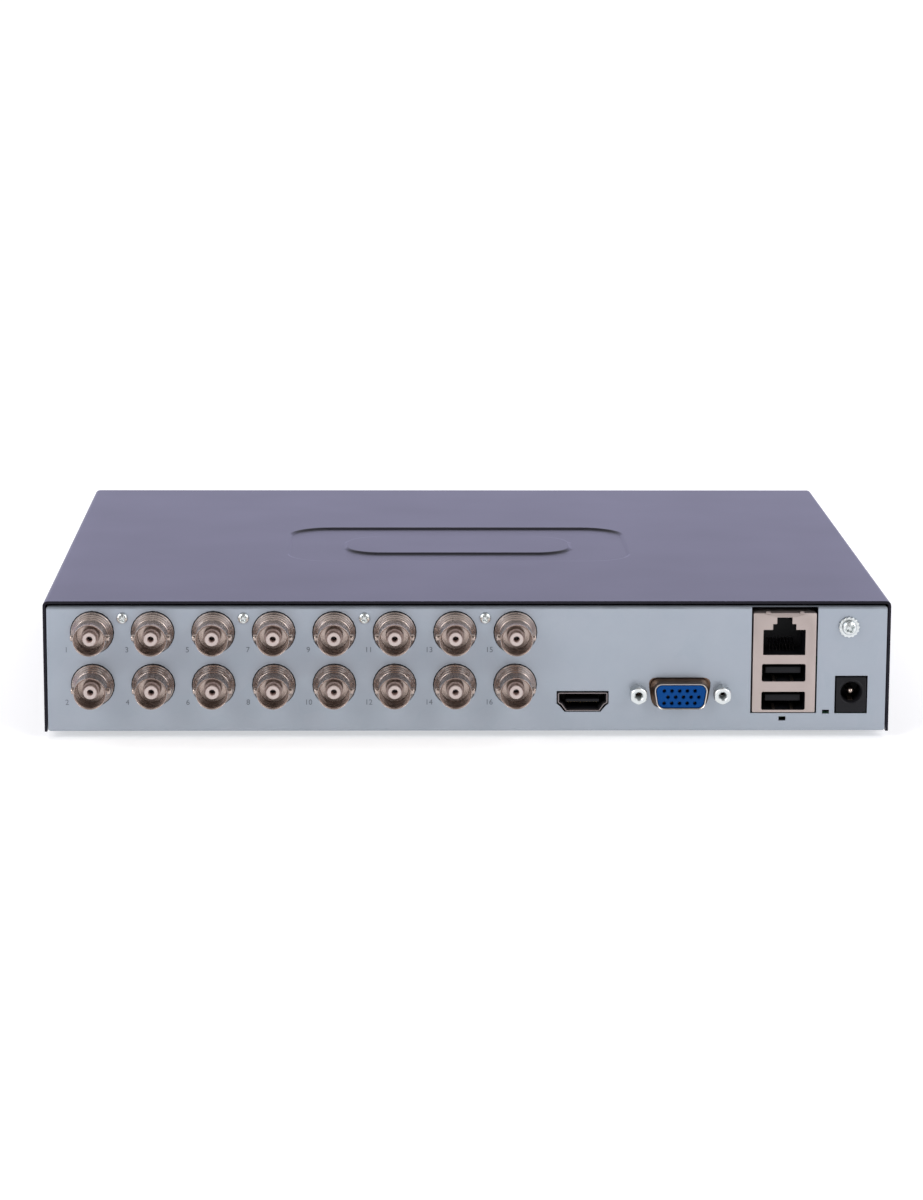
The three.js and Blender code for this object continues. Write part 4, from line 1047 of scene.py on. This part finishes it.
def stackOpenings(margin, deep, out):
    # the sockets' outlines, wider by a margin, from a depth behind the panel to a reach in front of it
    left, low, right, high = stack["network"]
    centre = (left + right) / 2
    shape = [(left - margin, low - margin), (right + margin, low - margin), (right + margin, high + margin)]
    steps = []
    below = high + margin
    for half, top in stack["steps"]:
        steps += [(centre + half + margin, below), (centre + half + margin, top + margin)]
        below = top + margin
    shape += steps + [(2 * centre - x, z) for x, z in steps[::-1]] + [(left - margin, high + margin)]
    solids = [prism(shape, 0.12, deep, out, 3)]
    for left, low, right, high in stack["serial"]:
        opening = rectangle(left - margin, low - margin, right + margin, high + margin)
        solids.append(prism(opening, 0.5, deep, out, 4))
    return together(*solids)


def prism(shape, radius, deep, out, steps):
    # a polygon with arcs in place of its corners, from a depth to a reach
    return lofted(lambda inset: cornered(shape, radius, inset, steps), [(0, -deep), (0, out)])


def stackPiece(name, surfaces, finish):
    return makePiece(name, placed(together(*surfaces), "out", panelBase), finish)


def stackBody():
    # the folded shell, hollowed and pierced, and the moulded insert behind it
    low, high = corners("stack_shell")
    x0, x1, z0, z1 = low[0], high[0], low[2] - caseBottom, high[2] - caseBottom
    wall, depth, inset, reach = stack["wall"], stack["depth"], stack["inset"], panelY - low[1]
    outer = placed(nodeBlock("stack_shell", -depth, reach, 0.35, 0.16), "out", panelBase)
    shell = makePiece("stackShell", outer, "tin", ["stack_shell"])
    room = block(x0 + wall, z0 + wall, x1 - wall, z1 - wall, -depth - 2, reach - wall, 0.2, 0.05)
    cutAway(shell, placed(room, "out", panelBase))
    cutAway(shell, placed(stackOpenings(0, 2, 3), "out", panelBase))
    roundEdges(shell, 0.1)
    inner = block(x0 + inset, z0 + inset, x1 - inset, z1 - inset, -depth + 1, reach - inset, 0.2, 0.1)
    insert = makePiece("stackInsert", placed(inner, "out", panelBase), "black", ["stack_insert"])
    cutAway(insert, placed(stackOpenings(0.02, stack["serialDepth"], 3), "out", panelBase))
    roundEdges(insert, 0.08)


def stackInside():
    # in each serial socket a tongue with four contacts and two springs; in the network one eight wires
    deep = stack["serialDepth"]
    tongues, pads, springs, wires = [], [], [], []
    for left, low, right, high in stack["serial"]:
        z, centre = high - 3.2, (left + right) / 2
        tongues.append(block(left + 1.2, z, right - 1.2, z + 2.0, -deep - 0.5, -1.5, 0.25, 0.3))
        for k, width in enumerate(stack["contactWidths"]):
            x = centre + (k - 1.5) * stack["contactPitch"]
            pads.append(block(x - width / 2, z - 0.1, x + width / 2, z + 0.12, -deep, -2.2, 0.05, 0.05, 2))
        for side in (-1, 1):
            foot = low + 0.05
            path = [(-0.8, foot + 0.1), (-2, foot + 0.35), (-4, foot + 0.7), (-6, foot + 0.6),
                    (-8, foot + 0.15)]
            springs.append(ribbon(centre + side * stack["springOffset"], path, 0.9, 0.22))
    stackPiece("serialTongues", tongues, "black")
    stackPiece("serialContacts", pads, "gold")
    stackPiece("serialSprings", springs, "nickel")
    left, low, right, high = stack["network"]
    for k in range(stack["wires"]):
        x = (left + right) / 2 + (k - (stack["wires"] - 1) / 2) * stack["wirePitch"]
        path = [(-6.5, low + 0.2), (-7.2, low + 0.4), (-9, low + 1.6), (-11, low + 2.6), (-12.5, low + 2.8)]
        wires.append(ribbon(x, path, 0.3, 0.2))
    stackPiece("networkContacts", wires, "steel")


def stackTrim():
    # two bent tabs on the shell's top, and a flap pressed into its face over the network socket: it
    # narrows towards the latch notch and leans out at its foot
    low, high = corners("stack_shell")
    x0, x1, z1, reach = low[0], high[0], high[2] - caseBottom, panelY - low[1]
    tabs = []
    for x in (x0 + stack["tabs"][0], x1 + stack["tabs"][1]):
        path = [(-1.4, z1 + 0.06), (-0.4, z1 + 0.36), (0.2, z1 + 0.46), (0.56, z1 + 0.2), (0.66, z1 - 0.2)]
        tabs.append(ribbon(x, path, 1.3, 0.2))
    stackPiece("stackTabs", tabs, "tin")
    centre, foot, back = (x0 + x1) / 2, stack["steps"][-1][1] + 0.2, reach - 0.2
    rows = ((z1 - 0.3, stack["flapTop"], reach + 0.02), (foot, stack["flapFoot"], reach + 0.35))
    points = [(centre + side * half, z, out) for z, half, front in rows
              for out in (back, front) for side in (-1, 1)]
    faces = [[0, 1, 3, 2], [4, 6, 7, 5], [0, 4, 5, 1], [2, 3, 7, 6], [0, 2, 6, 4], [1, 5, 7, 3]]
    stackPiece("stackFlap", [(np.array(points), faces)], "tin")


def ribbon(x, path, width, thick):
    # a strip of sheet bent along a path of depth and height, its corners rounded
    fine = curved(np.array(path, float))
    ahead = np.gradient(fine, axis=0)
    across = unit(np.column_stack([-ahead[:, 1], ahead[:, 0]]))
    half, top, edge = width / 2, thick / 2, min(thick / 3, width / 6)
    upper = [(-half, top - edge), (edge - half, top), (half - edge, top), (half, top - edge)]
    ring = np.array(upper + [(a, -b) for a, b in upper[::-1]])
    place = fine[:, None] + across[:, None] * ring[None, :, 1:]
    aside = np.broadcast_to(x + ring[:, 0], place.shape[:2])
    points, faces = gridSurface(np.stack([aside, place[..., 1], place[..., 0]], -1), False, True)
    faces += [list(range(8))[::-1], list(range(len(points) - 8, len(points)))]
    return points, faces


def curved(path):
    # a Catmull-Rom curve through the points of a path, eight points to a span
    steps = 8
    p = np.concatenate([path[:1] * 2 - path[1:2], path, path[-1:] * 2 - path[-2:-1]])
    t = np.linspace(0, 1, steps, endpoint=False)[:, None]
    parts = []
    for a, b, c, d in zip(p, p[1:], p[2:], p[3:]):
        square, cube = 2 * a - 5 * b + 4 * c - d, 3 * b - a - 3 * c + d
        parts.append(0.5 * (2 * b + (c - a) * t + square * t ** 2 + cube * t ** 3))
    return np.concatenate([*parts, path[-1:]])


stackBody()
stackInside()
stackTrim()
print("network and serial stack made")


# Power jack and earth screw.

power = {"boreX": 114.6, "boreHeight": 12.0, "radius": 3.0, "depth": 9, "pin": 0.95}


def powerJack():
    # a moulded body bored out, a low ridge round the bore, the domed pin and the leaf that grips a plug
    low, high = corners("power_jack_body")
    reach, deep = panelY - low[1], -power["depth"]
    body = placed(nodeBlock("power_jack_body", panelY - high[1], reach, 0.5, 0.22), "out", panelBase)
    piece = makePiece("powerBody", body, "black", ["power_jack_body"])
    seat = (power["boreX"], panelY, caseBottom + power["boreHeight"])
    r, p = power["radius"], power["pin"]
    bore = [(0, deep), (r, deep), (r, reach - 0.5), (r + 0.35, reach + 0.05), (r + 0.35, 3), (0, 3)]
    cutAway(piece, turnedAt(bore, 56, [seat]))
    ridge = [(r + 0.9, reach - 0.2), (r + 0.9, reach + 0.02), (r + 0.75, reach + 0.12),
             (r + 0.55, reach + 0.12), (r + 0.4, reach + 0.02), (r + 0.4, reach - 0.2)]
    makePiece("powerRing", placed(revolved(ridge, 56, closed=True), "out", seat), "black")
    pin = [(0, deep - 1), (p, deep - 1), (p, -1.9), (p - 0.12, -1.5), (p - 0.45, -1.15), (0, -1.0)]
    makePiece("powerPin", turnedAt(pin, 40, [seat]), "nickel", ["power_jack_pin"])
    leaf = ribbon(0, [(-1.2, -2.75), (-3.0, -2.35), (-5.5, -2.0), (-8.5, -2.4)], 1.5, 0.2)
    makePiece("powerSpring", placed(leaf, "out", seat), "nickel")


earth = {
    "teeth": 16, "tip": 3.05, "toothHeight": 0.11, "twist": 0.05, "hole": 1.8, "collar": 2.5, "out": 0.7,
    "shank": 1.4, "shankSpan": (-6, 1.45),
}


def toothedWasher():
    # a ring whose teeth are a clipped cosine of the angle and twist by its sine, growing out to the tips
    e = earth
    segments = 12 * e["teeth"]
    angle = np.arange(segments)[None] * 2 * np.pi / segments
    tip = e["tip"] + e["toothHeight"] * np.clip(np.cos(e["teeth"] * angle) * 2.2, -1, 1)
    ring = np.array([e["hole"], e["hole"] + 0.05, 2.2, e["collar"]])[:, None] * np.ones((1, segments))
    radius = np.concatenate([ring, (e["collar"] + tip) / 2, tip - 0.05, tip])
    twist = e["twist"] * np.sin(e["teeth"] * angle) * np.clip((radius - e["collar"] + 0.1) / 0.9, 0, 1)
    thick = np.array([0.18, 0.24, 0.25, 0.25, 0.24, 0.22, 0.12])[:, None]
    front, back = (polar(radius, angle, e["out"] + side * thick + twist) for side in (1, -1))
    return gridSurface(np.concatenate([front, back[::-1]]), True, True)


powerJack()
x, _, z = middle("earth_screw")
seat = (x, panelY, z)
makePiece("earthWasher", placed(toothedWasher(), "out", seat), "zinc", ["earth_washer"],
          body="earth_fastener", smooth=30)
half = earth["shank"]
shank = block(-half, -half, half, half, *earth["shankSpan"], half - 0.05, 0.2, 6)
fastener = placed(together(crossHead(**screws["earth"]), shank), "out", seat)
makePiece("earthScrew", fastener, "zinc", ["earth_screw"], body="earth_fastener")
print("power jack and earth screw made")


# Feet and fascia.

# profile from the middle of a dished sole out to the side and in to the stem that plugs into the case
foot = softened([(0, 0.25), (3.2, 0.25), (3.6, 0), (5.6, 0), (6.5, 0.9), (6.5, 2.05), (1.9, 2.1),
                 (1.9, 4.1), (0, 4.2)], 0.3)
for number in range(1, 5):
    x, y, _ = middle(f"foot_{number}")
    pad = placed(revolved(foot, 64), "up", (x, y, 0))
    makePiece(f"foot{number}", pad, "rubber", [f"foot_{number}"])

fascia = {
    "plate": 1.7, "rim": 1.6, "rimIn": 0.5, "rimLap": 0.1, "rimDrop": 0.8, "window": (56, 12, 114, 30),
    "indicators": (70, 85, 100), "indicatorRadius": 1.3,
}


def frontFascia():
    # a plate with a window cut out, a rim behind it, the smoked pane and three indicator lenses
    low, high = corners("front_fascia")
    half = high[0]
    z0, z1 = low[2] - caseBottom, high[2] - caseBottom
    base = (0, high[1], caseBottom)
    left, bottom, right, top = fascia["window"]
    sheet = placed(block(-half, z0, half, z1, -fascia["plate"], 0, 1.5, 0.5, 6), "front", base)
    plate = makePiece("frontFascia", sheet, "fascia", ["front_fascia"])
    cutAway(plate, placed(block(-right, bottom, -left, top, -9, 3, 0.8, 0.01), "front", base))
    roundEdges(plate, 0.25, 3)
    back, lap = low[1] - high[1], fascia["rimLap"] - fascia["plate"]
    reach = half - fascia["rimIn"]
    outer, inner = (cornered(rectangle(-reach + s, z0 + s, reach - s, z1 - fascia["rimDrop"] - s), 0.8, 0, 4)
                    for s in (0, fascia["rim"]))
    rings = [np.column_stack([ring, np.full(len(ring), height)])
             for ring, height in ((outer, back), (outer, lap), (inner, lap), (inner, back))]
    makePiece("fasciaRim", placed(gridSurface(np.stack(rings), True, True), "front", base), "fascia")
    start, end = corners("fascia_window")
    pane = block(-end[0], start[2] - caseBottom, -start[0], end[2] - caseBottom,
                 start[1] - high[1], end[1] - high[1], 0.6, 0.25)
    makePiece("fasciaWindow", placed(pane, "front", base), "smoked", ["fascia_window"])
    r = fascia["indicatorRadius"]
    dot = softened([(0, -1.0), (r, -1.0), (r, -0.22), (0, -0.05)], 0.12)
    z = caseBottom + (bottom + top) / 2
    dots = [placed(revolved(dot, 32), "front", (x, high[1], z)) for x in fascia["indicators"]]
    makePiece("indicatorLenses", together(*dots), "clear")


frontFascia()
print("feet and fascia made")


# Panel numerals.

numerals = {"size": 2.3, "across": -7.7, "up": -5.3, "thick": 0.03, "proud": 0.01, "margin": 2}


def numeralSurface(text):
    # an outline font's flat mesh for a short text, drawn about its own middle
    curve = bpy.data.curves.new("numeral", "FONT")
    curve.body = text
    curve.size = numerals["size"]
    curve.align_x, curve.align_y = "CENTER", "CENTER"
    curve.extrude = numerals["thick"] / 2
    holder = bpy.data.objects.new("numeral", curve)
    bpy.context.scene.collection.objects.link(holder)
    graph = bpy.context.evaluated_depsgraph_get()
    mesh = bpy.data.meshes.new_from_object(holder.evaluated_get(graph))
    points = np.array([v.co[:] for v in mesh.vertices])
    faces = [list(p.vertices) for p in mesh.polygons]
    bpy.data.objects.remove(holder)
    bpy.data.curves.remove(curve)
    bpy.data.meshes.remove(mesh)
    return points, faces


marks = []
for number, node in enumerate(jackNodes, 1):
    x, _, z = middle(node) + np.array([numerals["across"], 0, numerals["up"]])
    if x > chassisLow[0] + numerals["margin"]:
        where = (x, panelY - numerals["proud"], z)
        marks.append(placed(numeralSurface(str(number)), "out", where))
makePiece("panelNumerals", together(*marks), "mark")
print("numerals made")


# CAD pieces that stay in view.

shown = {
    "chassis": "sheet", "main_board": "board", "indicator_board": "board", "drive_board": "board",
    "processor": "black", "battery_holder": "black", "heatsink": "aluminium", "drive_base": "aluminium",
    "drive_cover": "zinc", "drive_actuator": "aluminium", "clock_battery": "zinc", "drive_platters": "disc",
    "light_guide": "clear", "data_cable": "red", "power_cable": "cable",
}
for node, finish in shown.items():
    for socket in bpy.data.objects[node].material_slots:
        socket.material = finishes[finish]
print("finishes given to", len(shown), "CAD pieces")
